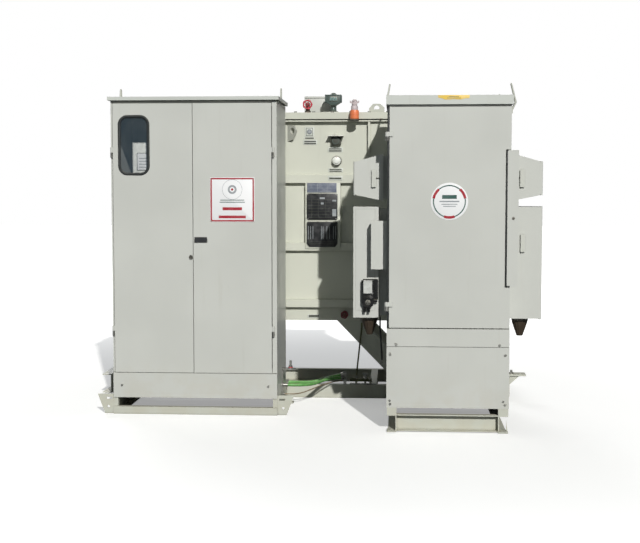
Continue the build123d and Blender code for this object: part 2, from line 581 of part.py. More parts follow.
def lv_door():
    door_y = (LV_Y[0], LV_Y[0] + DOOR_THICK)
    door = pan_door((LV_DOOR_X[0], LV_NOTCH_X), door_y, LV_DOOR_Z)
    upper = pan_door((LV_NOTCH_X - 3, LV_DOOR_X[1]), door_y, (LV_NOTCH_Z[1], LV_DOOR_Z[1]))
    lower = pan_door((LV_NOTCH_X - 3, LV_DOOR_X[1]), door_y, (LV_DOOR_Z[0], LV_NOTCH_Z[0]))
    door = door + upper + lower
    stiffener_x = (LV_DOOR_X[0] + 360, LV_DOOR_X[0] + 400)
    door += block(stiffener_x, (door_y[0] + 2, door_y[0] + 14), (LV_DOOR_Z[0] + 80, LV_DOOR_Z[1] - 80))
    fixed_all = []
    for z in LV_HINGE_Z:
        hinge_z = (z - LV_HINGE_HEIGHT / 2, z + LV_HINGE_HEIGHT / 2)
        x = LV_HINGE_X
        leaf_fixed = ((x - 6, LV_X[0]), (LV_HINGE_Y, LV_HINGE_Y + 60))
        leaf_moving = ((x, LV_DOOR_X[0] + 22), (LV_HINGE_Y - 5, LV_Y[0] + 0.5))
        fixed, moving = hinge_pair(x, LV_HINGE_Y, hinge_z, 12, leaf_fixed, leaf_moving)
        fixed_all.append(fixed)
        door += moving
    PARTS["lv_door"] = door
    return fixed_all


def feeder_x(left):
    """The width in X of a feeder breaker from its left side."""
    return (left, left + FEEDER_WIDTH)


def lv_inside():
    plate = block((620, 1270), (BREAKER_Y[1], BREAKER_Y[1] + 6), (900, 1960))
    for z in (1000, 1420, 1900):
        plate += block((LV_X[0] + SHEET, LV_X[1] - SHEET), (BREAKER_Y[1] + 6, BREAKER_Y[1] + 40), (z, z + 40))
    PARTS["lv_mounting_plate"] = plate

    housings = []
    for number, (x, z) in enumerate(((MAIN_X, MAIN_Z), *((feeder_x(x), FEEDER_Z) for x in FEEDER_X))):
        middle_x = (x[0] + x[1]) / 2
        middle_z = (z[0] + z[1]) / 2
        pivot_y = BREAKER_Y[0] + 26
        slot_y = (BREAKER_Y[0] - 1, BREAKER_Y[0] + 40)
        housing = block(x, BREAKER_Y, z)
        housing -= block((middle_x - 14, middle_x + 14), slot_y, (middle_z - 44, middle_z + 44))
        for side in (-1, 1):
            inner = (middle_x + side * 13.3, pivot_y, middle_z)
            outer = (middle_x + side * 14.5, pivot_y, middle_z)
            housing += rod(inner, outer, 5)
        housings.append(housing)
        lever = rod((middle_x - 13, pivot_y, middle_z), (middle_x + 13, pivot_y, middle_z), 9)
        grip_x = (middle_x - 8, middle_x + 8)
        lever += block(grip_x, (BREAKER_Y[0] - 34, pivot_y), (middle_z - 6, middle_z + 6))
        PARTS[LEVER_NAMES[number]] = lever
    PARTS["breakers"] = group(*housings)

    bars = []
    for step in range(4):
        x = THROAT_X[0] + 18 + step * 45
        riser = block((x, x + 28), (BREAKER_Y[1] + 60, BREAKER_Y[1] + 68), (1180, 1930))
        feed = block((x, x + 28), (BREAKER_Y[1] + 60, TANK_Y[0] + 110), (1922, 1930))
        bars.append(riser + feed)
    for x in (-540, -450, -360):
        bars.append(rod((x, RMU_Y[1], 1440), (x, TANK_Y[0] + 110, 1440), 10))
    PARTS["busbars"] = group(*bars)


def plinth_panels():
    mv = block((MV_X[0], MV_X[1]), (MV_Y[0] + 4, MV_Y[0] + DOOR_THICK), (MV_BOTTOM, MV_DOOR_Z[0] - 4))
    mv -= block((MV_X[0] + 3, MV_X[1] - 3), (MV_Y[0] + 7, MV_Y[0] + 30), (MV_BOTTOM + 3, MV_DOOR_Z[0] - 7))
    lv = block(LV_X, (LV_Y[0], LV_Y[0] + DOOR_THICK), (LV_BOTTOM, LV_PANEL_TOP))
    lv -= block((LV_X[0] + 3, LV_X[1] - 3), (LV_Y[0] + 3, LV_Y[0] + 30), (LV_BOTTOM + 3, LV_PANEL_TOP - 3))
    PARTS["plinth_panels"] = group(mv, lv)


# ---- side boxes on the low-voltage cabinet ------------------------------------------------
def side_x(side, distance):
    """The place of a point that far outside the cabinet's centre line, on either side."""
    return LV_CENTRE + side * distance


def hood_outline(side, inset=0.0, near_inset=0.0):
    """The hood's front outline: tall beside the cabinet, shorter at its outer edge."""
    near = side_x(side, HOOD_NEAR + near_inset)
    far = side_x(side, SIDE_OUT - inset)
    return [(near, HOOD_NEAR_Z[0] + inset), (far, HOOD_FAR_Z[0] + inset),
            (far, HOOD_FAR_Z[1] - inset), (near, HOOD_NEAR_Z[1] - inset)]


def pivot_of(side):
    """The vertical axis of a side door, inside its round outer edge."""
    return side_x(side, SIDE_OUT - HALF_DOOR), SIDE_FRONT_Y + HALF_DOOR


def side_door(side, outline, z_far):
    """A thick flap with a round hinge edge, bored for the pins above and below it."""
    x, y = pivot_of(side)
    depth = (SIDE_FRONT_Y, SIDE_FRONT_Y + SIDE_DOOR)
    flap = front_profile(outline, depth)
    edge = span(x, side_x(side, SIDE_OUT + 5))
    flap -= block(edge, (depth[0] - 1, depth[1] + 1), (z_far[0] - 100, z_far[1] + 100))
    flap += rod((x, y, z_far[0]), (x, y, z_far[1]), HALF_DOOR)
    for end, direction in ((z_far[0], 1), (z_far[1], -1)):
        flap -= rod((x, y, end - direction), (x, y, end + direction * 24.5), PIN_R + PIN_GAP)
        flap -= rod((x, y, end - direction * 60), (x, y, end), HALF_DOOR + 4)
    return flap


def hinge_ears(side, z_far):
    """Two small ears on the box, each with a pin that enters the flap's end."""
    x, y = pivot_of(side)
    ears = []
    for end, direction in ((z_far[0], 1), (z_far[1], -1)):
        ear_z = span(end - direction * 0.5, end - direction * 4.5)
        ear_x = (x - 8, x + 8)
        tab_z = span(end - direction * 2, end + direction * 3)
        ear = rod((x, y, ear_z[0]), (x, y, ear_z[1]), 8)
        ear += block(ear_x, (y, SIDE_BODY_FRONT + 20), ear_z)
        ear += block(ear_x, (SIDE_BODY_FRONT, SIDE_BODY_FRONT + 20), tab_z)
        ear += rod((x, y, end - direction * 1), (x, y, end + direction * 22), PIN_R)
        ears.append(ear)
    return ears


def open_box(outline_out, outline_in, y, wall):
    """A sheet box with a given front outline, open to the front."""
    return front_profile(outline_out, y) - front_profile(outline_in, (y[0] - 1, y[1] - wall))


def rectangle(side, near, far, z):
    """A front outline between two distances from the cabinet's centre line."""
    x = (side_x(side, near), side_x(side, far))
    return [(x[0], z[0]), (x[1], z[0]), (x[1], z[1]), (x[0], z[1])]


def swing_handle(side, place):
    """A lever that lies against the flap and turns about an axle near its upper end."""
    x, z = side_x(side, place[0]), place[1]
    wide, tall, thick = LEVER
    y = SIDE_FRONT_Y - 1
    lever = block((x - wide / 2, x + wide / 2), (y - thick, y - 6), (z - tall / 2, z + tall / 2))
    axle_z = z + tall / 2 - wide / 2
    lever += rod((x, y - 7, axle_z), (x, y, axle_z), 12)
    lever += rod((x, y - 1, axle_z), (x, SIDE_FRONT_Y + SIDE_DOOR + 12, axle_z), 6)
    cam_y = (SIDE_FRONT_Y + SIDE_DOOR + 6, SIDE_FRONT_Y + SIDE_DOOR + 10)
    lever += block((x - 6, x + 6), cam_y, (axle_z - 30, axle_z))
    return lever, (x, axle_z)


def bore_for_axle(flap, axle):
    x, z = axle
    return flap - rod((x, SIDE_FRONT_Y - 1, z), (x, SIDE_FRONT_Y + SIDE_DOOR + 1, z), 6 + PIN_GAP)


def side_boxes():
    body_y = (SIDE_BODY_FRONT, SIDE_FRONT_Y + SIDE_DEPTH)
    half = LV_CENTRE - LV_X[0]
    bodies = []
    for side, name in ((-1, "left"), (1, "right")):
        outer = hood_outline(side)
        body = open_box(outer, hood_outline(side, inset=3, near_inset=3), body_y, 3)
        collar = rectangle(side, half, HOOD_NEAR + 3, (HOOD_NEAR_Z[0] + 12, HOOD_NEAR_Z[1] - 12))
        body += front_profile(collar, (body_y[0] + 10, body_y[1]))
        for ear in hinge_ears(side, HOOD_FAR_Z):
            body += ear
        bodies.append(body)
        flap = side_door(side, outer, HOOD_FAR_Z)
        lever, axle = swing_handle(side, HOOD_HANDLE)
        PARTS[name + "_hood_door"] = bore_for_axle(flap, axle)
        PARTS[name + "_hood_handle"] = lever

        near = half + (LOWER_COLLAR if side < 0 else 0)
        z = LOWER_Z
        outer = rectangle(side, near, SIDE_OUT, z)
        inner = rectangle(side, near + 3, SIDE_OUT - 3, (z[0] + 3, z[1] - 3))
        body = open_box(outer, inner, body_y, 3)
        if side < 0:
            collar = rectangle(side, half, near + 3, (z[0] + 12, z[1] - 12))
            body += front_profile(collar, (body_y[0] + 30, body_y[1]))
            cover = front_profile(outer, (SIDE_FRONT_Y, SIDE_BODY_FRONT))
            seam = rectangle(side, near + 22, SIDE_OUT - 14, (z[0] + 45, z[1] - 14))
            groove = rectangle(side, near + 25, SIDE_OUT - 17, (z[0] + 48, z[1] - 17))
            cut = (SIDE_FRONT_Y - 1, SIDE_FRONT_Y + 2)
            body += cover - (front_profile(seam, cut) - front_profile(groove, cut))
        else:
            for ear in hinge_ears(side, z):
                body += ear
            flap_outline = rectangle(side, half + 2, SIDE_OUT, z)
            flap = side_door(side, flap_outline, z)
            lever, axle = swing_handle(side, LOWER_HANDLE)
            PARTS["right_box_door"] = bore_for_axle(flap, axle)
            PARTS["right_box_handle"] = lever
        bodies.append(body)
    PARTS["side_boxes"] = group(*bodies)

    boots = []
    for side, distance in BOOT_SIDES:
        place = (side_x(side, distance), BOOT_Y)
        collar = rod((*place, LOWER_Z[0] - 22), (*place, LOWER_Z[0]), BOOT_R[1] + 1)
        boots.append(collar + cone((*place, LOWER_Z[0] - 120), (*place, LOWER_Z[0] - 22), *BOOT_R))
    PARTS["cable_boots"] = group(*boots)


# ---- box and socket on the cabinet's left side --------------------------------------------
def aux_and_socket():
    box = block(AUX_X, AUX_Y, AUX_Z)
    arm = block((AUX_X[1] - 8, AUX_X[1]), (AUX_Y[1], AUX_Y[1] + 60), (AUX_Z[0] + 30, AUX_Z[1] - 30))
    PARTS["aux_box"] = box + arm

    plate_x = (SOCKET_X[0] + 10, SOCKET_X[1] + 26)
    plate = block(plate_x, (SOCKET_Y[1] - 6, SOCKET_Y[1]), (SOCKET_Z[0] + 70, SOCKET_Z[1]))
    body_y = (SOCKET_Y[0] + 22, SOCKET_Y[1] - 6)
    middle_x = (SOCKET_X[0] + SOCKET_X[1]) / 2
    body = block((SOCKET_X[0], SOCKET_X[1]), body_y, (SOCKET_Z[0] + 42, SOCKET_Z[1] - 6))
    body += rod((middle_x, body_y[0], SOCKET_Z[0] + 50), (middle_x, body_y[1], SOCKET_Z[0] + 50), 36)
    for x in (SOCKET_X[0] + 18, SOCKET_X[0] + 46):
        body += rod((x, SOCKET_Y[1] - 26, SOCKET_Z[0] - 14), (x, SOCKET_Y[1] - 26, SOCKET_Z[0] + 30), 9)
    gland = (SOCKET_Y[1] - 26, SOCKET_Z[0] + 62)
    body += rod((SOCKET_X[1] - 6, *gland), (SOCKET_X[1] + 22, *gland), 10)
    ear_z = SOCKET_Z[1] - 6
    lid_pivot = (SOCKET_Y[0] + 14, ear_z - 4)
    for x in (SOCKET_X[0] + 4, SOCKET_X[1] - 10):
        body += block((x, x + 6), (lid_pivot[0] - 3, body_y[0] + 2), (lid_pivot[1] - 4, lid_pivot[1] + 4))
    body += rod((SOCKET_X[0] + 5, *lid_pivot), (SOCKET_X[1] - 5, *lid_pivot), 1.8)
    PARTS["socket_body"] = body + plate
    lid_y = (SOCKET_Y[0] + 11, body_y[0] - 0.6)
    lid = block((SOCKET_X[0] + 12, SOCKET_X[1] - 12), lid_y, (SOCKET_Z[0] + 110, lid_pivot[1]))
    lid += rod((SOCKET_X[0] + 12, *lid_pivot), (SOCKET_X[1] - 12, *lid_pivot), 4.4)
    lid -= rod((SOCKET_X[0], *lid_pivot), (SOCKET_X[1], *lid_pivot), 1.8 + PIN_GAP)
    PARTS["socket_lid"] = lid


# ---- transformer --------------------------------------------------------------------------
def tank():
    shell = block(TANK_X, TANK_Y, TANK_Z)
    inside = ((TANK_X[0] + TANK_WALL, TANK_X[1] - TANK_WALL), (TANK_Y[0] + TANK_WALL, TANK_Y[1] - TANK_WALL))
    shell -= block(*inside, (TANK_Z[0] + TANK_WALL, TANK_Z[1] + 1))
    flange_x = (TANK_X[0] - FLANGE_OUT, TANK_X[1] + FLANGE_OUT)
    flange_y = (TANK_Y[0] - FLANGE_OUT, TANK_Y[1] + FLANGE_OUT)
    flange = block(flange_x, flange_y, (TANK_Z[1] - FLANGE_THICK, TANK_Z[1]))
    flange -= block(*inside, (TANK_Z[1] - FLANGE_THICK - 1, TANK_Z[1] + 1))
    shell += flange
    for z in RIB_Z:
        band_z = (z, z + RIB_HEIGHT)
        for side_y in ((TANK_Y[0] - RIB_OUT, TANK_Y[0]), (TANK_Y[1], TANK_Y[1] + RIB_OUT)):
            rib = block(TANK_X, side_y, band_z)
            hollow_y = (side_y[0] + 4, side_y[1]) if side_y[0] < CORE_Y else (side_y[0], side_y[1] - 4)
            shell += rib - block((TANK_X[0] + 4, TANK_X[1] - 4), hollow_y, (z + 4, z + RIB_HEIGHT - 4))
    through_front = (TANK_Y[0] - 1, TANK_Y[0] + TANK_WALL + 1)
    shell -= throat_bore(through_front)
    shell -= block((HV_DUCT_X[0] + 5, HV_DUCT_X[1] - 5), through_front, (HV_DUCT_Z[0] + 5, HV_DUCT_Z[1] - 5))
    for x in RADIATOR_X:
        for z in (FIN_Z[0] + 60, FIN_Z[1] - 60):
            shell -= rod((x, TANK_Y[1] - TANK_WALL - 1, z), (x, TANK_Y[1] + 1, z), 38)
    PARTS["tank_shell"] = shell

    gasket_z = (TANK_Z[1], TANK_Z[1] + GASKET)
    gasket = block((flange_x[0] + 4, flange_x[1] - 4), (flange_y[0] + 4, flange_y[1] - 4), gasket_z)
    PARTS["cover_gasket"] = gasket - block(*inside, (gasket_z[0] - 1, gasket_z[1] + 1))

    cover_x = (TANK_X[0] - COVER_OUT, TANK_X[1] + COVER_OUT)
    cover_y = (TANK_Y[0] - COVER_OUT, TANK_Y[1] + COVER_OUT)
    cover = block(cover_x, cover_y, (gasket_z[1], COVER_TOP))
    cover -= block(*inside, (gasket_z[1] - 1, COVER_TOP - COVER_PLATE))
    cover = chamfer(cover.edges().group_by(Axis.Z)[-1], 3)
    PARTS["tank_cover"] = cover


def active_part():
    limbs = (TANK_MIDDLE - LIMB_PITCH, TANK_MIDDLE, TANK_MIDDLE + LIMB_PITCH)
    half = LIMB / 2
    y = (CORE_Y - half, CORE_Y + half)
    frame_x = (limbs[0] - half, limbs[2] + half)
    core = block(frame_x, y, CORE_Z)
    for left_limb in limbs[:2]:
        window_x = (left_limb + half, left_limb + LIMB_PITCH - half)
        core -= block(window_x, (y[0] - 1, y[1] + 1), (CORE_Z[0] + LIMB, CORE_Z[1] - LIMB))
    for name, radii in (("lv_windings", LV_COIL_R), ("hv_windings", HV_COIL_R)):
        coils = []
        for x in limbs:
            outer = rod((x, CORE_Y, COIL_Z[0]), (x, CORE_Y, COIL_Z[1]), radii[1])
            coils.append(outer - rod((x, CORE_Y, COIL_Z[0] - 1), (x, CORE_Y, COIL_Z[1] + 1), radii[0]))
        PARTS[name] = group(*coils)
    beams = []
    for z in ((CORE_Z[0] + 20, CORE_Z[0] + 120), (CORE_Z[1] - 120, CORE_Z[1] - 20)):
        for beam_y, open_to in (((y[0] - 46, y[0]), -1), ((y[1], y[1] + 46), +1)):
            beams.append(channel_along_x((frame_x[0] - 20, frame_x[1] + 20), beam_y, z, open_to))
    feet = []
    for x in (frame_x[0] + 20, frame_x[1] - 80):
        for foot_y in ((y[0] - 46, y[0]), (y[1], y[1] + 46)):
            feet.append(block((x, x + 60), foot_y, (TANK_Z[0] + TANK_WALL, CORE_Z[0] + 20)))
    for foot in feet:
        index = 0 if foot.center().Y < CORE_Y else 1
        beams[index] = beams[index] + foot
    PARTS["core"] = group(core, *beams)


def radiators():
    solids = []
    for centre in RADIATOR_X:
        row = (FIN_COUNT - 1) * FIN_PITCH
        first = centre - row / 2
        radiator = None
        for number in range(FIN_COUNT):
            x = first + number * FIN_PITCH
            fin = block((x - FIN / 2, x + FIN / 2), FIN_Y, FIN_Z)
            radiator = fin if radiator is None else radiator + fin
        for z in (FIN_Z[0] + 60, FIN_Z[1] - 60):
            header_y = FIN_Y[0] + 50
            radiator += rod((first - 20, header_y, z), (first + row + 20, header_y, z), 38)
            radiator += rod((centre, TANK_Y[1], z), (centre, header_y, z), 37)
            radiator += rod((centre, TANK_Y[1], z), (centre, TANK_Y[1] + 14, z), 62)
        for z in (FIN_Z[0] + 200, FIN_Z[1] - 200):
            stay_x = (first - FIN / 2, first + row + FIN / 2)
            radiator += block(stay_x, (FIN_Y[1] - 4, HALF_DEPTH), (z, z + 24))
        solids.append(radiator)
    PARTS["radiators"] = group(*solids)


def ducts():
    throat = block(THROAT_X, (LV_Y[1], TANK_Y[0] - 12), THROAT_Z)
    flange = block((403, TANK_X[1]), (TANK_Y[0] - 12, TANK_Y[0]), (1783, TANK_Z[1] - FLANGE_THICK - 2))
    lv_duct = throat + flange - throat_bore((LV_Y[1] - 1, TANK_Y[0] + 1))

    x = HV_DUCT_X
    z = HV_DUCT_Z
    hv_duct = block(x, (MV_Y[1], TANK_Y[0]), z)
    hv_duct -= block((x[0] + 5, x[1] - 5), (MV_Y[1] - 1, TANK_Y[0] + 1), (z[0] + 5, z[1] - 5))
    hv_flange = block((x[0] - 30, x[1] + 30), (TANK_Y[0] - 12, TANK_Y[0]), (z[0] - 30, RIB_Z[2]))
    hv_flange -= block((x[0] + 5, x[1] - 5), (TANK_Y[0] - 13, TANK_Y[0] + 1), (z[0] + 5, z[1] - 5))
    edge = block((408, 424), (TANK_Y[0] - 36, TANK_Y[0] - 12), (1790, TANK_Z[1] - FLANGE_THICK - 2))
    PARTS["bus_ducts"] = group(lv_duct + edge, hv_duct + hv_flange)


# ---- gauges and valves on the tank --------------------------------------------------------
def tank_instruments():
    x, y = RELAY
    z = COVER_TOP
    plate = block((x - 90, x + 42), (y - 60, y + 60), (z, z + 10))
    neck = cone((x, y, z + 10), (x, y, z + 62), 30, 20)
    right_half = [(22, 60), (60, 84), (60, 136)]
    left_half = [(-across, up) for across, up in reversed(right_half)]
    body_points = [(x + across, z + up) for across, up in right_half + left_half]
    body = front_profile(body_points, (y - 45, y + 45))
    dome = cone((x, y, z + 136), (x, y, z + 152), 26, 12)
    relay = plate + neck + body + dome

    box = block((-74, 160), (y + 110, y + 220), (z, z + 136))

    shelf = block(GAUGE_X, (TANK_Y[0] - 70, TANK_Y[0]), (GAUGE_Z[1] - 12, GAUGE_Z[1] - 4))
    mid = (GAUGE_X[0] + GAUGE_X[1]) / 2
    stub = rod((mid, TANK_Y[0] - 30, GAUGE_Z[1] - 4), (mid, TANK_Y[0] - 30, GAUGE_Z[1] + 22), 8)
    dial = block((mid - 38, mid + 38), (TANK_Y[0] - 46, TANK_Y[0]), (GAUGE_Z[0], GAUGE_Z[1] - 12))
    gauge = shelf + stub + dial
    PARTS["protection_gauges"] = group(relay, box, gauge)

    fill_x, fill_y = FILL_VALVE
    fill_z = z + 63
    fill = rod((fill_x, fill_y, z), (fill_x, fill_y, z + 18), 24)
    fill += rod((fill_x, fill_y, z + 18), (fill_x, fill_y, fill_z), 15)
    fill += rod((fill_x, fill_y + 17, fill_z), (fill_x, fill_y - 17, fill_z), 17)
    fill += rod((fill_x, fill_y - 17, fill_z), (fill_x, fill_y - 48, fill_z), 7)
    drain_x, drain_z = DRAIN
    drain = rod((drain_x, TANK_Y[0], drain_z), (drain_x, TANK_Y[0] - 30, drain_z), 24)
    drain += rod((drain_x, TANK_Y[0] - 30, drain_z), (drain_x, TANK_Y[0] - 62, drain_z), 15)
    drain += rod((drain_x, TANK_Y[0] - 62, drain_z), (drain_x, TANK_Y[0] - 88, drain_z), 6)
    relief_x, relief_y = RELIEF
    cover_front = TANK_Y[0] - COVER_OUT
    arm = block((relief_x - 14, relief_x + 14), (relief_y, cover_front), (z - 40, z - 12))
    relief = arm + rod((relief_x, relief_y, z - 68), (relief_x, relief_y, z + 12), 33)
    relief += rod((relief_x, relief_y, z + 12), (relief_x, relief_y, z + 44), 25)
    relief += rod((relief_x, relief_y, z + 44), (relief_x, relief_y, z + 82), 6)

    fill_wheel = handwheel((fill_x, fill_y - 19, fill_z), (0, -1, 0), 36, 7, 7 + PIN_GAP)
    PARTS["fill_valve_wheel"] = fill_wheel
    PARTS["drain_valve_wheel"] = handwheel((drain_x, TANK_Y[0] - 64, drain_z), (0, -1, 0), 28, 6, 6 + PIN_GAP)
    cap = rod((relief_x, relief_y, z + 46), (relief_x, relief_y, z + 78), 20)
    cap += block((relief_x - 34, relief_x + 34), (relief_y - 6, relief_y + 6), (z + 62, z + 72))
    cap += cone((relief_x, relief_y, z + 78), (relief_x, relief_y, z + 90), 20, 10)
    spindle_bore = rod((relief_x, relief_y, z + 40), (relief_x, relief_y, z + 84), 6 + PIN_GAP)
    PARTS["relief_valve_cap"] = cap - spindle_bore

    tap_x, tap_z = TAP
    boss_y = TANK_Y[0] - 14
    boss = rod((tap_x, boss_y, tap_z), (tap_x, TANK_Y[0], tap_z), 40)
    boss += rod((tap_x, boss_y - 16, tap_z), (tap_x, boss_y, tap_z), 9)
    PARTS["valve_bodies"] = group(fill, drain, relief, boss)
    knob = rod((tap_x, boss_y - 0.6, tap_z), (tap_x, boss_y - 22, tap_z), 31)
    knob += cone((tap_x, boss_y - 22, tap_z), (tap_x, boss_y - 34, tap_z), 31, 17)
    PARTS["tap_changer_knob"] = knob - rod((tap_x, boss_y, tap_z), (tap_x, boss_y - 16.5, tap_z), 9 + PIN_GAP)


def handwheel(base, direction, radius, rim, bore):
    """A rim, a hub and four spokes about the base point, lying across a direction."""
    plane = Plane(origin=Vector(*base), z_dir=Vector(*direction))
    ring = Pos(0, 0, rim + 4) * Torus(radius - rim, rim * 0.9)
    hub = Cylinder(bore + 5, rim * 2 + 8, align=(Align.CENTER, Align.CENTER, Align.MIN))
    wheel = ring + hub
    for turn in range(4):
        spoke = Pos((radius - rim) / 2, 0, rim + 4) * Box(radius - rim, 7, 6)
        wheel += Rot(0, 0, 90 * turn) * spoke
    wheel -= Cylinder(bore, 100)
    return plane * wheel


def rating_plates():
    x, z = RATING_X, RATING_Z
    front = TANK_Y[0] - RIB_OUT - 8
    wing_z = (RIB_Z[1] + RIB_HEIGHT + 6, RIB_Z[2] - 6)
    bracket = block(x, (front, front + 5), z)
    for wing_x in ((x[0], x[0] + 5), (x[1] - 5, x[1])):
        bracket += block(wing_x, (front, TANK_Y[0]), wing_z)
    strip = block((-35, 180), (front - 2, front), (1517, 1586))
    upper = block((-38, 187), (front - 6, front), (1318, 1510))
    lower = block((-38, 187), (front - 6, front), (1119, 1303))
    tags = []
    for tag_x, tag_z in (((-56, 14), (1924, 1997)), ((-68, 36), (1866, 1902)),
                         ((113, 224), (1812, 1847)), ((117, 224), (1660, 1696))):
        tags.append(block(tag_x, (TANK_Y[0] - 3, TANK_Y[0]), tag_z))
    PARTS["rating_plates"] = group(bracket, strip, upper, lower, *tags)


# ---- lifting points -----------------------------------------------------------------------
def bent_rod(points, bend, radius):
    """A round bar bent to a constant radius at each of its corners."""
    path = FilletPolyline(*[Vector(*point) for point in points], radius=bend)
    return sweep(Plane(origin=path @ 0, z_dir=path % 0) * Circle(radius), path=path)


def lifting_loop(x, y, z, height, lean):
    """A bent bar standing on a foot plate, its two legs spread front to back, its top leaning sideways."""
    foot = block((x - 8, x + 8), (y - 32, y + 32), (z, z + 5))
    points = [(x, y - 24, z + 2), (x + lean * 0.9, y - 12, z + height - 10), (x + lean, y, z + height),
              (x + lean * 0.9, y + 12, z + height - 10), (x, y + 24, z + 2)]
    return foot + bent_rod(points, 6, LOOP_R)


def wall_loop(y):
    """A bent bar from a plate on the cabinet's right wall, round the roof's edge and up."""
    wall = LV_X[1]
    top = LV_ROOF_TOP + 74
    foot = block((wall, wall + 6), (y - 34, y + 34), (LV_TOP - 55, LV_TOP - 12))
    points = [(wall + 3, y - 24, LV_TOP - 34), (wall + 26, y - 22, LV_TOP + 14), (wall - 1, y - 12, top - 9),
              (wall - 4, y, top), (wall - 1, y + 12, top - 9), (wall + 26, y + 22, LV_TOP + 14),
              (wall + 3, y + 24, LV_TOP - 34)]
    loop = foot + bent_rod(points, 6, LOOP_R)
    return loop - block((wall - 20, wall), (y - 60, y + 60), (LV_TOP - 80, LV_TOP + 20))


def tank_hook():
    """A plate with an eye, welded to the tank's front at an angle."""
    front = TANK_Y[0]
    top = TANK_Z[1] - FLANGE_THICK
    x = (HOOK_X - 7, HOOK_X + 7)
    outline = [(front + 30, top - 20), (front - 62, top - 30), (front - 80, top - 66),
               (front - 40, top - 130), (front + 30, top - 150)]
    hook = side_profile(outline, x)
    hook -= rod((x[0] - 1, front - 42, top - 66), (x[1] + 1, front - 42, top - 66), 22)
    hook = Pos(HOOK_X, front, 0) * Rot(0, 0, HOOK_TURN) * Pos(-HOOK_X, -front, 0) * hook
    return hook - block((HOOK_X - 100, HOOK_X + 100), (front, front + 100), (top - 200, top))


def lifting_points():
    pieces = []
    for x in MV_X:
        pieces.append(lifting_loop(x, MV_LOOP_Y, MV_ROOF_Z[1], 77, 0.5))
    for y in (LV_Y[0] + 50, LV_Y[1] - 60):
        pieces.append(lifting_loop(LV_X[0] + 2, y, LV_ROOF_TOP, 72, 12))
        pieces.append(wall_loop(y))
    pieces.append(tank_hook())
    for x, y in ((470, 130), (-470, 740), (470, 740)):
        outline = [(x - 56, COVER_TOP), (x + 56, COVER_TOP), (x + 56, COVER_TOP + 40),
                   (x + 26, COVER_TOP + 66), (x - 26, COVER_TOP + 66), (x - 56, COVER_TOP + 34)]
        plate = front_profile(outline, (y - 7, y + 7))
        pieces.append(plate - rod((x, y - 8, COVER_TOP + 34), (x, y + 8, COVER_TOP + 34), 20))
    PARTS["lifting_lugs"] = group(*pieces)


# ---- earthing and cables ------------------------------------------------------------------
def socket_at(points, radius, length, at_start=False):
    """A round socket that carries on from one end of a cable in the cable's own direction."""
    end, before = (points[0], points[1]) if at_start else (points[-1], points[-2])
    direction = (Vector(*end) - Vector(*before)).normalized()
    return rod(end, tuple(Vector(*end) + direction * length), radius)


def earthing():
    side = MV_X[1]
    bracket = block((side, side + 8), (EARTH_Y - 12, EARTH_Y + 12), (76, 262))
    bracket += block((side, side + 99), (EARTH_Y - 20, EARTH_Y + 20), (262, 274))
    bracket += rod((side + 60, EARTH_Y, 274), (side + 60, EARTH_Y, 328), 8)
    bracket += socket_at(EARTH_CABLE, GREEN_R + 3, 36, at_start=True)
    bracket += socket_at(EARTH_LEAD, LEAD_R + 3, 12, at_start=True)

    rail_top = RAIL_HEIGHT
    post = block(POST_X, (FRONT_RAIL_Y, FRONT_RAIL_Y + 40), (rail_top, rail_top + 85))
    post += socket_at(EARTH_CABLE, GREEN_R + 3, 34)
    post += socket_at(EARTH_CABLE_REAR, GREEN_R + 3, 30)
    post += socket_at(EARTH_LEAD, LEAD_R + 2, 26)

    rear_start = EARTH_CABLE_REAR[0]
    clamp_y = (rear_start[1] - 16, rear_start[1] + 16)
    clamp = block((rear_start[0] - 24, rear_start[0]), clamp_y, (rail_top, rail_top + 27))

    bar = block(BAR_X, (FRONT_RAIL_Y + 8, FRONT_RAIL_Y + 34), (rail_top, rail_top + 8))
    stud_y = FRONT_RAIL_Y + 21
    bar += socket_at(DROP_CABLE, DROP_R + 2.5, 60) & block(BAR_X, (0, 200), (rail_top + 4, 400))
    for x, top in ((392, rail_top + 84), (430, rail_top + 62)):
        bar += rod((x, stud_y, rail_top + 4), (x, stud_y, top), 8)
    bar += rod((372, stud_y, rail_top + 78), (412, stud_y, rail_top + 78), 9)

    tank_lug = block((354, 378), (TANK_Y[0] - 26, TANK_Y[0]), (TANK_Z[0] + 4, TANK_Z[0] + 28))
    tank_lug += socket_at(DROP_CABLE, DROP_R + 2.5, 20, at_start=True)

    gland_top = rod(CONTROL_CABLE[0], (*CONTROL_CABLE[0][:2], LOWER_Z[0] + 12), CONTROL_R + 3)
    end = CONTROL_CABLE[-1]
    gland_low = socket_at(CONTROL_CABLE, CONTROL_R + 3, 22)
    gland_low += block((end[0] - 12, LV_X[0]), (end[1] - 13, end[1] + 13), (end[2] - 28, end[2] - 20))
    PARTS["earth_terminals"] = group(bracket, post, clamp, bar, tank_lug, gland_top, gland_low)


def rounded_path(points):
    """Straight runs joined by arcs, each as large as its two runs allow."""
    vectors = [Vector(*point) for point in points]
    radii = []
    for before, here, after in zip(vectors, vectors[1:], vectors[2:]):
        turn = radians((here - before).get_angle(after - here))
        run = min((here - before).length, (after - here).length)
        radii.append(0.45 * run / tan(turn / 2))
    return FilletPolyline(*vectors, radius=radii), radii


def cable(name, points, radius):
    """A round cable along a route, in a node of its own."""
    path, radii = rounded_path(points)
    start = Plane(origin=path @ 0, z_dir=path % 0)
    tube = sweep(start * Circle(radius), path=path)
    PARTS[name] = tube
    ratio = tube.volume / (pi * radius ** 2 * path.length)
    tightest = round(min(radii) / (2 * radius), 1)
    print(name, "length", round(path.length), "tightest bend in diameters", tightest)
    print("    volume ratio", round(ratio, 4))


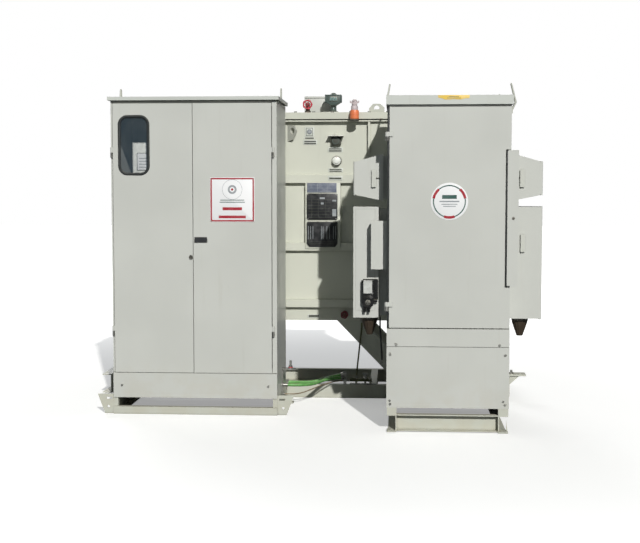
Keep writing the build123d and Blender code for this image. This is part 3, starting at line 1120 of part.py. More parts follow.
def cables():
    cable("earth_cable", EARTH_CABLE, GREEN_R)
    cable("earth_cable_rear", EARTH_CABLE_REAR, GREEN_R)
    cable("earth_lead", EARTH_LEAD, LEAD_R)
    cable("drop_cable", DROP_CABLE, DROP_R)
    cable("control_cable", CONTROL_CABLE, CONTROL_R)


# ---- fasteners ----------------------------------------------------------------------------
def fasteners():
    heads = []
    for x in (LV_X[0] + 62, LV_X[1] - 62):
        heads.append(bolt_head((x, LV_Y[0], 560), (0, -1, 0)))
    for x in (LV_X[0] + 24, LV_X[1] - 24):
        for z in (497, 180):
            heads.append(bolt_head((x, LV_Y[0], z), (0, -1, 0)))
    for x in (MV_X[0] + 60, MV_X[1] - 60):
        heads.append(bolt_head((x, MV_Y[0] + 4, 200), (0, -1, 0)))
    cover_front = TANK_Y[0] - COVER_OUT
    steps = 12
    for step in range(steps):
        x = TANK_X[0] - 20 + step * (TANK_X[1] - TANK_X[0] + 40) / (steps - 1)
        for y in (TANK_Y[0] - 24, TANK_Y[1] + 24):
            heads.append(bolt_head((x, y, COVER_TOP), (0, 0, 1), 11, 9))
    for y in (280, 430, 580):
        for x in (TANK_X[0] - 24, TANK_X[1] + 24):
            heads.append(bolt_head((x, y, COVER_TOP), (0, 0, 1), 11, 9))
    for y in (FRONT_RAIL_Y + 25, REAR_RAIL_Y + 25):
        for z in (70, 130):
            heads.append(bolt_head((LEFT_WEB_X, y, z), (-1, 0, 0), 12, 10))
    PARTS["bolts"] = group(*heads)


def build():
    skid()
    PARTS["base_frames"] = group(mv_base(), lv_base())
    tank_stand()
    mv_shell()
    lv_shell()
    hinge_solids = mv_doors() + lv_door()
    PARTS["hinges"] = group(*hinge_solids)
    mv_inside()
    lv_inside()
    plinth_panels()
    side_boxes()
    aux_and_socket()
    tank()
    active_part()
    radiators()
    ducts()
    tank_instruments()
    rating_plates()
    lifting_points()
    earthing()
    cables()
    fasteners()


build()
os.makedirs("parts", exist_ok=True)
for node, shape in PARTS.items():
    export_step(shape, "parts/" + node + ".step")
print(len(PARTS), "nodes")
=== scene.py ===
"""Looks of a skid-mounted unit substation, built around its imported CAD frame.

Sizes are in millimetres until a piece is made.
"""

import math

import bmesh
import bpy
from mathutils import Matrix, Vector


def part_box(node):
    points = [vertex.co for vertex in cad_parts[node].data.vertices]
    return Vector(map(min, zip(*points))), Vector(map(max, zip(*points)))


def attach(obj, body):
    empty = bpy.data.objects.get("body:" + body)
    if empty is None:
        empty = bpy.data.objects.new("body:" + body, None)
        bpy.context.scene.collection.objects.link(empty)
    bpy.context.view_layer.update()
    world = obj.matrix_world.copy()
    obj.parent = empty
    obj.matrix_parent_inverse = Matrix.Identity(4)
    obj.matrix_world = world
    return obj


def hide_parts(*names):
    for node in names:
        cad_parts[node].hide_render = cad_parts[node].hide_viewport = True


MM = 0.001

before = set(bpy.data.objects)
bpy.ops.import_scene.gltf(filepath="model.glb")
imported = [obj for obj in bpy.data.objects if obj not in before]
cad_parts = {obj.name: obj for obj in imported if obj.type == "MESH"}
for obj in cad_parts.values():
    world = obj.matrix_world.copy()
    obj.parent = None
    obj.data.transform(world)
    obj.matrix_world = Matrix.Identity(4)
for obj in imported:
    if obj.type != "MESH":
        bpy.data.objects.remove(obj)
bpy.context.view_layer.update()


# ---- places, read from the frame or shared with it, in millimetres ------------------------
def span_of(node):
    """The (low, high) pairs of a CAD node along X, Y and Z."""
    low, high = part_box(node)
    return [(low[axis] / MM, high[axis] / MM) for axis in range(3)]


MV_DOOR_FRONT = -665.0
LV_DOOR_FRONT = -1156.0
LV_ROOF_FRONT = span_of("lv_roof")[1][0]
TANK_FRONT = 90.0
COVER_TOP = 2099.0
SIDE_FRONT = -950.0
BOX_BOTTOM = 708.0
LV_CENTRE = 947
RIB_Z = (673, 1091, 1587)
RIB_HEIGHT = 56
RIB_PROUD = 36
METER_FRONT = -560.0
RMU_FRONT = -500.0
RELAY = (149, 200)
FILL_VALVE = (-38, 150)
RELIEF = (312, -5)
DRAIN = (240, 622)
TAP = (179, 1748)
BOOTS = (445, 1425)
BOOT_Y = -860
RATING_FRONT = TANK_FRONT - 44
WINDOW_X = (-1264, -1053)
WINDOW_Z = (1638, 2039)
WINDOW_CORNER = 46

CABLES = {
    "earth_cable": (11, 537, "cable_green", "stiff", [
        (-148, -300, 153), (-106, -300, 153), (-64, -289, 151), (-26, -266, 149), (7, -232, 147),
        (34, -188, 146), (57, -134, 146), (79, -78, 147), (105, -28, 149), (137, 9, 151),
        (173, 32, 152), (213, 47, 153)]),
    "earth_cable_rear": (11, 396, "cable_green", "stiff", [
        (-176, 86, 111.6), (-134, 86, 111.6), (-88, 82, 111.6), (-40, 80, 112), (6, 83, 116),
        (52, 87, 125), (96, 90, 138), (138, 90, 151), (176, 88, 162), (212, 84, 170)]),
    "earth_lead": (4, 553, "cable_brown", "medium", [
        (-172, -298, 88), (-140, -298, 87), (-100, -284, 85), (-62, -252, 86), (-26, -208, 91),
        (12, -154, 99), (52, -96, 108), (94, -42, 117), (138, 4, 124), (182, 38, 128), (224, 58, 130)]),
    "drop_cable": (6, 397, "cable_olive", "stiff", [
        (366, 74, 560), (365, 74, 525), (361, 72, 478), (354, 71, 425), (349, 72, 370),
        (343, 73, 315), (337, 75, 262), (332, 77, 212), (329, 78, 165)]),
    "control_cable": (5.5, 290, "cable_black", "stiff", [
        (513, -800, 700), (513, -800, 668), (514, -801, 620), (517, -802, 566), (521, -801, 510),
        (525, -798, 458), (526, -797, 410)]),
}


# ---- materials ----------------------------------------------------------------------------
def colour(red, green, blue):
    """A display colour, 0 to 255 a channel, as Blender's linear values."""
    linear = []
    for value in (red / 255, green / 255, blue / 255):
        linear.append(value / 12.92 if value <= 0.04045 else ((value + 0.055) / 1.055) ** 2.4)
    return (*linear, 1.0)


class Shade:
    """One material, and short names for the nodes that it is made of."""

    def __init__(self, name, roughness=0.5, metallic=0.0, **sockets):
        self.material = bpy.data.materials.new(name)
        self.material.use_nodes = True
        self.tree = self.material.node_tree
        self.shader = self.tree.nodes["Principled BSDF"]
        self.put("Roughness", roughness)
        self.put("Metallic", metallic)
        for key, value in sockets.items():
            self.put(key.replace("_", " "), value)
        self.place = self.tree.nodes.new("ShaderNodeTexCoord").outputs["Object"]

    def wire(self, socket, value):
        if isinstance(value, bpy.types.NodeSocket):
            self.tree.links.new(value, socket)
        else:
            socket.default_value = value

    def put(self, name, value):
        self.wire(self.shader.inputs[name], value)

    def node(self, kind, inputs, **settings):
        made = self.tree.nodes.new(kind)
        for key, value in settings.items():
            setattr(made, key, value)
        for key, value in inputs.items():
            self.wire(made.inputs[key], value)
        return made

    def stretched(self, stretch):
        return self.node("ShaderNodeMapping", {"Vector": self.place, "Scale": stretch}).outputs[0]

    def noise(self, scale, detail=3.0, stretch=(1, 1, 1), rough=0.5):
        inputs = {"Vector": self.stretched(stretch), "Scale": scale, "Detail": detail, "Roughness": rough}
        return self.node("ShaderNodeTexNoise", inputs).outputs[0]

    def bands(self, scale, direction, distortion=0.0):
        inputs = {"Vector": self.place, "Scale": scale, "Distortion": distortion}
        return self.node("ShaderNodeTexWave", inputs, bands_direction=direction).outputs["Fac"]

    def height(self):
        return self.node("ShaderNodeSeparateXYZ", {"Vector": self.place}).outputs["Z"]

    def upward(self):
        """1 where a surface faces up, 0 where it faces sideways or down."""
        normal = self.node("ShaderNodeNewGeometry", {}).outputs["Normal"]
        return self.between(self.node("ShaderNodeSeparateXYZ", {"Vector": normal}).outputs["Z"], 0.4, 0.95)

    def between(self, value, low, high, bottom=0.0, top=1.0):
        """bottom below low, top above high, and smooth between them."""
        inputs = {"Value": value, "From Min": low, "From Max": high, "To Min": bottom, "To Max": top}
        return self.node("ShaderNodeMapRange", inputs, interpolation_type="SMOOTHSTEP").outputs["Result"]

    def maths(self, operation, first, second):
        return self.node("ShaderNodeMath", {0: first, 1: second}, operation=operation).outputs[0]

    def mix(self, factor, first, second):
        inputs = {0: factor, 6: first, 7: second}
        return self.node("ShaderNodeMix", inputs, data_type="RGBA").outputs[2]

    def occlusion_shade(self, distance):
        """Painted shade mask from ambient occlusion: 1 deep in a corner, 0 in the open."""
        node = self.node("ShaderNodeAmbientOcclusion", {"Distance": distance}, samples=6)
        return self.between(node.outputs["AO"], 0.35, 0.85, 1.0, 0.0)

    def bump(self, *layers):
        """Bump layers of (height, strength, distance), each on top of the last."""
        normal = None
        for height, strength, distance in layers:
            inputs = {"Height": height, "Strength": strength, "Distance": distance}
            if normal is not None:
                inputs["Normal"] = normal
            normal = self.node("ShaderNodeBump", inputs).outputs[0]
        self.put("Normal", normal)


DUST = colour(186, 176, 150)
# dark grime colour: real dirt in the random specks, and painted shade where the ambient occlusion mask
# darkens corners
GRIME_AND_SHADE = colour(84, 80, 66)


def paint(name, base, roughness=0.42, dirt=1.0, dusty=1.0, low=0.0):
    """Sprayed enamel on sheet steel: tone drift, rain streaks, dust that settles, and painted shade darkening
    the corners.
    """
    shade = Shade(name, Coat_Weight=0.12, Coat_Roughness=0.22)
    dark = tuple(channel * 0.955 for channel in base[:3]) + (1.0,)
    tone = shade.mix(shade.between(shade.noise(1.7, 4), 0.35, 0.68), base, dark)
    streaks = shade.between(shade.noise(2.6, 5, (9, 9, 0.55), 0.6), 0.58, 0.80, 0.0, 0.09 * dirt)
    tone = shade.mix(streaks, tone, colour(158, 152, 128))
    specks = shade.between(shade.noise(70, 3), 0.72, 0.82, 0.0, 0.10 * dirt)
    tone = shade.mix(specks, tone, GRIME_AND_SHADE)
    foot = shade.between(shade.height(), low, low + 0.36, 0.16 * dusty, 0.0)
    foot = shade.maths("MULTIPLY", foot, shade.between(shade.noise(9, 5), 0.36, 0.62))
    tone = shade.mix(foot, tone, DUST)
    top = shade.maths("MULTIPLY", shade.upward(), shade.between(shade.noise(6, 5), 0.30, 0.66, 0.05, 0.25))
    tone = shade.mix(top, tone, DUST)
    # painted shade: corners darkened toward the grime colour by an ambient occlusion mask
    corner = shade.maths("MULTIPLY", shade.occlusion_shade(0.02), 0.28 * dirt)
    tone = shade.mix(corner, tone, GRIME_AND_SHADE)
    shade.put("Base Color", tone)
    shade.put("Roughness", shade.between(shade.noise(4, 5), 0.3, 0.7, roughness - 0.06, roughness + 0.10))
    shade.bump((shade.noise(2.3, 2), 0.25, 0.003), (shade.noise(620, 2), 0.10, 0.0004))
    return shade.material


def metal(name, base, roughness=0.34, tarnish=(96, 92, 84), brushed=(1, 1, 1), spread=0.5):
    """Bare or plated metal with brushed lines, dull patches and painted shade in corners."""
    shade = Shade(name, metallic=0.9)
    patch = shade.between(shade.noise(26, 5), 0.42, 0.66, 0.0, spread)
    tone = shade.mix(patch, base, colour(*tarnish))
    # painted shade: hollows and corners darkened by an ambient occlusion mask
    tone = shade.mix(shade.maths("MULTIPLY", shade.occlusion_shade(0.008), 0.6), tone, GRIME_AND_SHADE)
    shade.put("Base Color", tone)
    shade.put("Roughness", shade.between(shade.noise(40, 4), 0.3, 0.7, roughness - 0.08, roughness + 0.16))
    shade.bump((shade.noise(240, 3, brushed), 0.16, 0.0005))
    return shade.material


def plastic(name, base, roughness=0.4, grain=900.0, depth=0.15, dusty=0.25):
    """Moulded plastic or rubber: fine grain, scuffs that catch light, dust on what faces up."""
    shade = Shade(name)
    light = tuple(channel * 1.25 + 0.006 for channel in base[:3]) + (1.0,)
    tone = shade.mix(shade.between(shade.noise(30, 4), 0.44, 0.66, 0.0, 0.55), base, light)
    dust = shade.between(shade.noise(18, 5), 0.34, 0.68, 0.15, 1.0)
    dust = shade.maths("MULTIPLY", shade.maths("MULTIPLY", dust, shade.upward()), dusty)
    tone = shade.mix(dust, tone, DUST)
    shade.put("Base Color", tone)
    shade.put("Roughness", shade.between(shade.noise(34, 4), 0.3, 0.7, roughness - 0.08, roughness + 0.14))
    shade.bump((shade.noise(grain, 2), depth, 0.0004))
    return shade.material


def sheathed(name, base):
    """A cable's sheath: faint drawn lines, rubbed patches and dust."""
    shade = Shade(name)
    light = tuple(min(1.0, channel * 1.5 + 0.03) for channel in base[:3]) + (1.0,)
    tone = shade.mix(shade.between(shade.noise(34, 5), 0.45, 0.68, 0.0, 0.6), base, light)
    dust = shade.maths("MULTIPLY", shade.upward(), shade.between(shade.noise(20, 4), 0.4, 0.6, 0.0, 0.35))
    shade.put("Base Color", shade.mix(dust, tone, DUST))
    shade.put("Roughness", shade.between(shade.noise(50, 3), 0.3, 0.7, 0.34, 0.55))
    shade.bump((shade.noise(420, 3), 0.2, 0.0004))
    return shade.material


def printed(name, base, fade=0.12):
    """A printed or enamelled label face, a little faded and scratched."""
    shade = Shade(name, Coat_Weight=0.25, Coat_Roughness=0.15)
    pale = tuple(channel + (1 - channel) * fade for channel in base[:3]) + (1.0,)
    tone = shade.mix(shade.between(shade.noise(22, 5), 0.42, 0.66), base, pale)
    scratch = shade.between(shade.noise(90, 4, (1, 1, 0.08)), 0.68, 0.78, 0.0, 0.25)
    shade.put("Base Color", shade.mix(scratch, tone, colour(150, 148, 140)))
    shade.put("Roughness", shade.between(shade.noise(60, 3), 0.3, 0.7, 0.28, 0.5))
    shade.bump((shade.noise(500, 2), 0.06, 0.0003))
    return shade.material


def glazing():
    """Thin window glass that lets the sun through, faintly blue, with a film of dust."""
    shade = Shade("clear_glass", Alpha=0.12)
    film = shade.between(shade.noise(7, 5), 0.4, 0.75)
    shade.put("Base Color", shade.mix(film, colour(104, 126, 142), colour(134, 150, 160)))
    shade.put("Roughness", shade.between(film, 0.0, 1.0, 0.03, 0.10))
    shade.bump((shade.noise(5, 2), 0.04, 0.0006))
    return shade.material


def laminated():
    """Stacked core sheets: thin lines, dark oxide with rusty edges."""
    shade = Shade("core_sheets", metallic=0.6)
    lines = shade.bands(420, "Y")
    tone = shade.mix(lines, colour(72, 74, 80), colour(110, 112, 116))
    rust = shade.between(shade.noise(14, 5), 0.56, 0.74, 0.0, 0.55)
    shade.put("Base Color", shade.mix(rust, tone, colour(104, 70, 46)))
    shade.put("Roughness", shade.between(shade.noise(30, 4), 0.3, 0.7, 0.42, 0.62))
    shade.bump((lines, 0.3, 0.0006))
    return shade.material


def wound_paper():
    """Kraft paper over conductor, in bands up the coil."""
    shade = Shade("wound_paper")
    turns = shade.bands(24, "Z", 0.3)
    tone = shade.mix(turns, colour(168, 132, 84), colour(206, 172, 120))
    stain = shade.between(shade.noise(8, 5), 0.5, 0.72, 0.0, 0.5)
    shade.put("Base Color", shade.mix(stain, tone, colour(122, 92, 54)))
    shade.put("Roughness", shade.between(shade.noise(80, 3), 0.3, 0.7, 0.66, 0.86))
    shade.bump((turns, 0.5, 0.003), (shade.noise(300, 3), 0.3, 0.0005))
    return shade.material


CABINET = paint("cabinet_enamel", colour(204, 206, 200), low=0.1)
ROOF = paint("roof_enamel", colour(205, 209, 203), dirt=1.2)
TANK = paint("tank_enamel", colour(208, 210, 197), roughness=0.46, dirt=1.3, dusty=0.5, low=0.1)
SKID = paint("skid_enamel", colour(200, 202, 190), roughness=0.5, dirt=1.6, dusty=1.4)
LIFTING = paint("lifting_enamel", colour(190, 192, 182), roughness=0.45, dirt=1.2)
SWITCHGEAR = paint("switchgear_enamel", colour(208, 210, 206), roughness=0.36, dirt=0.4, dusty=0.0)
HANDLE_GREY = paint("handle_enamel", colour(206, 208, 200), roughness=0.36, dirt=0.6, dusty=0.0)
ZINC = metal("zinc_plate", colour(186, 186, 180))
NICKEL = metal("dull_nickel", colour(150, 148, 140), 0.4)
COPPER = metal("bare_copper", colour(196, 122, 84), 0.3, (120, 74, 50), (1, 1, 0.05))
GALVANISED = metal("galvanised_sheet", colour(176, 178, 176), 0.42, (142, 146, 146))
GLASS = glazing()
BLACK_PLASTIC = plastic("black_nylon", colour(44, 46, 48), 0.42)
DIAL_BLACK = plastic("dial_plastic", colour(38, 39, 42), 0.35)
BREAKER_GREY = plastic("breaker_moulding", colour(74, 77, 80), 0.5)
SOCKET_BLACK = plastic("socket_moulding", colour(24, 25, 26), 0.28, 400)
LID_GREY = plastic("lid_moulding", colour(196, 198, 194), 0.3, 700, 0.08)
WHITE_PLASTIC = plastic("white_moulding", colour(236, 238, 232), 0.25, 700, 0.05)
GASKET = plastic("gasket_rubber", colour(40, 44, 44), 0.6, 500, 0.3)
BOOT = plastic("boot_rubber", colour(60, 49, 37), 0.6, 260, 0.4, 0.3)
CORE = laminated()
PAPER = wound_paper()
GREEN_SHEATH = sheathed("green_sheath", colour(98, 158, 84))
BROWN_SHEATH = sheathed("brown_sheath", colour(124, 108, 86))
OLIVE_SHEATH = sheathed("olive_sheath", colour(78, 80, 48))
BLACK_SHEATH = sheathed("black_sheath", colour(30, 31, 33))
PLATE_BLACK = printed("black_plate", colour(30, 32, 34), 0.03)
PLATE_SLATE = printed("slate_plate", colour(92, 100, 122), 0.08)
PLATE_PALE = printed("pale_plate", colour(206, 210, 202), 0.05)
PRINT_DARK = printed("dark_print", colour(78, 80, 72), 0.05)
PRINT_GREY = printed("grey_print", colour(150, 156, 160))
SIGN_WHITE = printed("sign_white", colour(244, 245, 246), 0.0)
SIGN_RED = printed("sign_red", colour(172, 38, 52), 0.05)
SIGN_GREEN = printed("sign_green", colour(52, 92, 84), 0.06)
LABEL_YELLOW = printed("label_yellow", colour(242, 206, 92), 0.12)
GAUGE_GREEN = paint("gauge_enamel", colour(78, 92, 88), roughness=0.38, dirt=0.6, dusty=0.0)
WHEEL_RED = paint("wheel_enamel", colour(196, 66, 82), roughness=0.36, dirt=0.8, dusty=0.0)
# painted shade: the handwheels' red enamel darkened for the drain wheel, which sits in shadow
WHEEL_RED_SHADED = paint("drain_wheel_shaded_enamel", colour(126, 52, 60), roughness=0.5, dirt=1.0, dusty=0.0)
VALVE_DARK = paint("valve_enamel", colour(96, 60, 52), roughness=0.45, dirt=1.0, dusty=0.0)
CAP_GREY = plastic("cap_moulding", colour(196, 184, 186), 0.4, 700, 0.08)
RELIEF_ORANGE = paint("relief_enamel", colour(238, 132, 86), roughness=0.4, dirt=0.6, dusty=0.0)
BOSS_DARK = paint("boss_enamel", colour(72, 74, 66), roughness=0.5, dirt=0.6, dusty=0.0)
LENS = plastic("teal_lens", colour(118, 144, 142), 0.12, 700, 0.02, 0.0)

NODE_MATERIALS = {
    CABINET: ("mv_shell", "mv_door_left", "mv_door_right", "lv_shell", "lv_door", "plinth_panels",
              "side_boxes", "left_hood_door", "right_hood_door", "right_box_door", "aux_box"),
    ROOF: ("mv_roof", "lv_roof"),
    TANK: ("tank_shell", "tank_cover", "bus_ducts", "radiators"),
    SKID: ("skid_rails", "skid_cross_members", "base_frames", "tank_stand"),
    LIFTING: ("lifting_lugs",),
    ZINC: ("bolts", "hinges", "earth_terminals"),
    NICKEL: ("mv_lock", "lv_lock"),
    BLACK_PLASTIC: ("mv_handle",),
    HANDLE_GREY: ("left_hood_handle", "right_hood_handle", "right_box_handle"),
    GLASS: ("window_glass",),
    GASKET: ("cover_gasket",),
    BOOT: ("cable_boots",),
    CORE: ("core",),
    COPPER: ("busbars",),
    PAPER: ("lv_windings", "hv_windings"),
    SWITCHGEAR: ("ring_main_unit",),
    DIAL_BLACK: ("switch_dial_a", "switch_dial_b", "main_breaker_lever", "feeder_lever_a",
                 "feeder_lever_b"),
    BREAKER_GREY: ("breakers",),
    GALVANISED: ("lv_mounting_plate",),
    SOCKET_BLACK: ("socket_body",),
    LID_GREY: ("socket_lid",),
    PLATE_PALE: ("rating_plates",),
    GAUGE_GREEN: ("protection_gauges",),
    VALVE_DARK: ("valve_bodies",),
    WHEEL_RED: ("fill_valve_wheel", "drain_valve_wheel"),
    CAP_GREY: ("relief_valve_cap",),
    WHITE_PLASTIC: ("tap_changer_knob",),
    GREEN_SHEATH: ("earth_cable", "earth_cable_rear"),
    BROWN_SHEATH: ("earth_lead",),
    OLIVE_SHEATH: ("drop_cable",),
    BLACK_SHEATH: ("control_cable",),
}
for material, names in NODE_MATERIALS.items():
    for node_name in names:
        cad_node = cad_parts[node_name]
        cad_node.data.materials.clear()
        cad_node.data.materials.append(material)


# ---- pieces -------------------------------------------------------------------------------
def turn_to(direction):
    """The rotation that takes +Z to a direction."""
    return Vector((0, 0, 1)).rotation_difference(Vector(direction)).to_matrix().to_4x4()


def soften(shape, edges, width, steps):
    """Round some edges of a shape."""
    bmesh.ops.bevel(shape, geom=edges, offset=width, segments=steps, profile=0.5, affect="EDGES")


FORWARD = (0, -1, 0)
UP = (0, 0, 1)
DOWN = (0, 0, -1)


class Piece:
    """A mesh piece put together from closed shapes, each with its own material, in millimetres."""

    def __init__(self, name, material):
        self.name = name
        self.mesh = bmesh.new()
        self.materials = [material]

    def take(self, shape, material=None):
        """Add a closed shape and free it."""
        material = material or self.materials[0]
        if material not in self.materials:
            self.materials.append(material)
        bmesh.ops.recalc_face_normals(shape, faces=shape.faces)
        for face in shape.faces:
            face.material_index = self.materials.index(material)
            face.smooth = True
        carrier = bpy.data.meshes.new("carrier")
        shape.to_mesh(carrier)
        shape.free()
        self.mesh.from_mesh(carrier)
        bpy.data.meshes.remove(carrier)

    def box(self, x, y, z, material=None, bevel=1.0, steps=2):
        """A box with rounded edges; each axis is a (low, high) pair."""
        shape = bmesh.new()
        bmesh.ops.create_cube(shape, size=1)
        for vert in shape.verts:
            vert.co = Vector([pair[0] + (pair[1] - pair[0]) * (part + 0.5)
                              for pair, part in zip((x, y, z), vert.co)])
        soften(shape, shape.edges[:], bevel, steps)
        self.take(shape, material)

    def slab(self, outline, y, material=None, bevel=0.4):
        """An outline of (x, z) points between two depths, its front edge rounded."""
        shape = bmesh.new()
        front = [shape.verts.new((px, y[0], pz)) for px, pz in outline]
        back = [shape.verts.new((px, y[1], pz)) for px, pz in outline]
        face = shape.faces.new(front)
        shape.faces.new(back[::-1])
        for here in range(len(outline)):
            after = (here + 1) % len(outline)
            shape.faces.new((front[after], front[here], back[here], back[after]))
        if bevel:
            soften(shape, list(face.edges), bevel, 2)
        self.take(shape, material)

    def mark(self, x, z, y, material, corner=1, steps=2):
        """A flat printed mark with round corners."""
        self.slab(rounded(x, z, corner, steps), y, material, 0)

    def turned(self, profile, centre, direction=UP, material=None, sides=40, wobble=None):
        """A closed profile of (radius, height) points turned about an axis through the centre."""
        shape = bmesh.new()
        rings = []
        for step in range(sides):
            angle = 2 * math.pi * step / sides
            ring = []
            for radius, height in profile:
                reach = radius * (wobble(angle, height) if wobble else 1)
                ring.append(shape.verts.new((reach * math.cos(angle), reach * math.sin(angle), height)))
            rings.append(ring)
        for step in range(sides):
            here, after = rings[step], rings[(step + 1) % sides]
            for low in range(len(profile)):
                high = (low + 1) % len(profile)
                shape.faces.new((here[low], after[low], after[high], here[high]))
        bmesh.ops.remove_doubles(shape, verts=shape.verts, dist=0.001)
        bmesh.ops.dissolve_degenerate(shape, edges=shape.edges, dist=0.001)
        shape.transform(Matrix.Translation(Vector(centre)) @ turn_to(direction))
        self.take(shape, material)

    def tube(self, points, radius, material=None, sides=14, ripple=None):
        """A round bar along a line of points, closed at both ends."""
        shape = bmesh.new()
        points = [Vector(point) for point in points]
        across = None
        rings = []
        for here, point in enumerate(points):
            before, after = points[max(here - 1, 0)], points[min(here + 1, len(points) - 1)]
            along = (after - before).normalized()
            if across is None:
                across = along.orthogonal().normalized()
            across = (across - along * across.dot(along)).normalized()
            other = along.cross(across)
            reach = radius * (ripple(here) if ripple else 1)
            ring = []
            for step in range(sides):
                angle = 2 * math.pi * step / sides
                outward = math.cos(angle) * across + math.sin(angle) * other
                ring.append(shape.verts.new(point + reach * outward))
            rings.append(ring)
        for here, after in zip(rings, rings[1:]):
            for step in range(sides):
                beside = (step + 1) % sides
                shape.faces.new((here[step], here[beside], after[beside], after[step]))
        shape.faces.new(rings[0][::-1])
        shape.faces.new(rings[-1])
        self.take(shape, material)

    def done(self, body, slot, *replaced):
        """Make the piece, in metres, riding on a body."""
        mesh = bpy.data.meshes.new(self.name)
        self.mesh.transform(Matrix.Scale(MM, 4))
        self.mesh.to_mesh(mesh)
        self.mesh.free()
        for material in self.materials:
            mesh.materials.append(material)
        mesh.set_sharp_from_angle(angle=math.radians(34))
        made = bpy.data.objects.new(self.name, mesh)
        bpy.context.scene.collection.objects.link(made)
        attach(made, body)
        if replaced:
            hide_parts(*replaced)
        return made


def rounded(x, z, radius, steps=8):
    """The outline of a rectangle with round corners, as (x, z) points."""
    points = []
    corners = ((x[1] - radius, z[1] - radius, 0), (x[0] + radius, z[1] - radius, 1),
               (x[0] + radius, z[0] + radius, 2), (x[1] - radius, z[0] + radius, 3))
    for centre_x, centre_z, quarter in corners:
        for step in range(steps + 1):
            angle = math.pi / 2 * (quarter + step / steps)
            points.append((centre_x + radius * math.cos(angle), centre_z + radius * math.sin(angle)))
    return points


def round_bar(radius, low, high, edge=1.0):
    """The profile of a short cylinder with rounded edges."""
    points = [(0, low)]
    for step in range(4):
        angle = math.pi / 2 * step / 3
        points.append((radius - edge + edge * math.sin(angle), low + edge - edge * math.cos(angle)))
    for step in range(4):
        angle = math.pi / 2 * step / 3
        points.append((radius - edge + edge * math.cos(angle), high - edge + edge * math.sin(angle)))
    return points + [(0, high)]


def flat_ring(inner, outer, low, high):
    """The profile of a flat ring."""
    return [(inner, low), (outer, low), (outer, high), (inner, high)]


def hoop(radius, thick, steps=12, squash=1.0, lift=0.0):
    """The profile of a round-section hoop."""
    return [(radius + thick * math.cos(2 * math.pi * step / steps),
             lift + thick * squash * math.sin(2 * math.pi * step / steps)) for step in range(steps)]


def hexagon_nut(piece, centre, direction, radius, length, material=None):
    """A nut or bolt head with chamfered corners."""
    profile = [(0, 0), (radius, 0), (radius, length - radius * 0.12), (radius * 0.86, length), (0, length)]
    piece.turned(profile, centre, direction, material, sides=6)


def screw(piece, centre, direction, radius, material=None):
    """A domed screw head with a washer under it."""
    washer = flat_ring(radius * 0.5, radius * 1.5, 0, radius * 0.22)
    piece.turned(washer, centre, direction, material, sides=20)
    dome = [(0, 0), (radius, 0), (radius, radius * 0.35), (radius * 0.8, radius * 0.7),
            (radius * 0.45, radius * 0.9), (0, radius * 0.95)]
    piece.turned(dome, centre, direction, material, sides=20)


# ---- cords --------------------------------------------------------------------------------
def cords():
    """The five cables, each a smooth line through its route."""
    sheaths = {"cable_green": GREEN_SHEATH, "cable_brown": BROWN_SHEATH, "cable_olive": OLIVE_SHEATH,
               "cable_black": BLACK_SHEATH}
    for node, (radius, length, slot, stiffness, route) in CABLES.items():
        data = bpy.data.curves.new(node + "_line", "CURVE")
        data.dimensions = "3D"
        data.bevel_depth = radius * MM
        data.bevel_resolution = 6
        data.resolution_u = 16
        data.use_fill_caps = True
        spline = data.splines.new("NURBS")
        spline.points.add(len(route) - 1)
        for point, place in zip(spline.points, route):
            point.co = (place[0] * MM, place[1] * MM, place[2] * MM, 1)
        spline.order_u = 3
        spline.use_endpoint_u = True
        data.materials.append(sheaths[slot])
        line = bpy.data.objects.new(node + "_line", data)
        bpy.context.scene.collection.objects.link(line)
        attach(line, "root")
        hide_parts(node)


# ---- signs, labels and plates -------------------------------------------------------------
def window_rubber():
    """The rubber profile pressed round the cubicle's window."""
    piece = Piece("window_rubber", GASKET)
    front = MV_DOOR_FRONT
    section = [(-3, front + 0.5), (-3, front - 1.5), (-1, front - 3.5), (4, front - 4.5), (9, front - 4.5),
               (13, front - 3), (15, front), (15.5, front + 4), (9, front + 5), (2, front + 5)]
    shape = bmesh.new()
    loops = []
    for inset, y in section:
        x = (WINDOW_X[0] + inset, WINDOW_X[1] - inset)
        z = (WINDOW_Z[0] + inset, WINDOW_Z[1] - inset)
        outline = rounded(x, z, WINDOW_CORNER + 16 - inset, 10)
        loops.append([shape.verts.new((px, y, pz)) for px, pz in outline])
    for here in range(len(loops)):
        after = loops[(here + 1) % len(loops)]
        for step in range(len(after)):
            beside = (step + 1) % len(after)
            shape.faces.new((loops[here][step], loops[here][beside], after[beside], after[step]))
    piece.take(shape)
    piece.done("mv_door_left", "gasket_rubber")


def meter_card():
    """The meter's face behind the window, with a plain bordered card."""
    piece = Piece("meter_face", WHITE_PLASTIC)
    piece.box((-1184, -966), (METER_FRONT - 4, METER_FRONT + 1), (1606, 1854), None, 3)
    piece.slab(rounded((-1160, -1000), (1670, 1790), 3, 3), (METER_FRONT - 6, METER_FRONT - 4), BOSS_DARK)
    piece.slab(rounded((-1156, -1004), (1674, 1786), 2, 3), (METER_FRONT - 7, METER_FRONT - 6), SIGN_WHITE)
    for row in range(4):
        z = 1690 + row * 20
        right = -1086 + 12 * (row % 2)
        piece.mark((-1146, right), (z, z + 5), (METER_FRONT - 7.5, METER_FRONT - 7), PRINT_GREY)
    piece.done("root", "switchgear_grey")


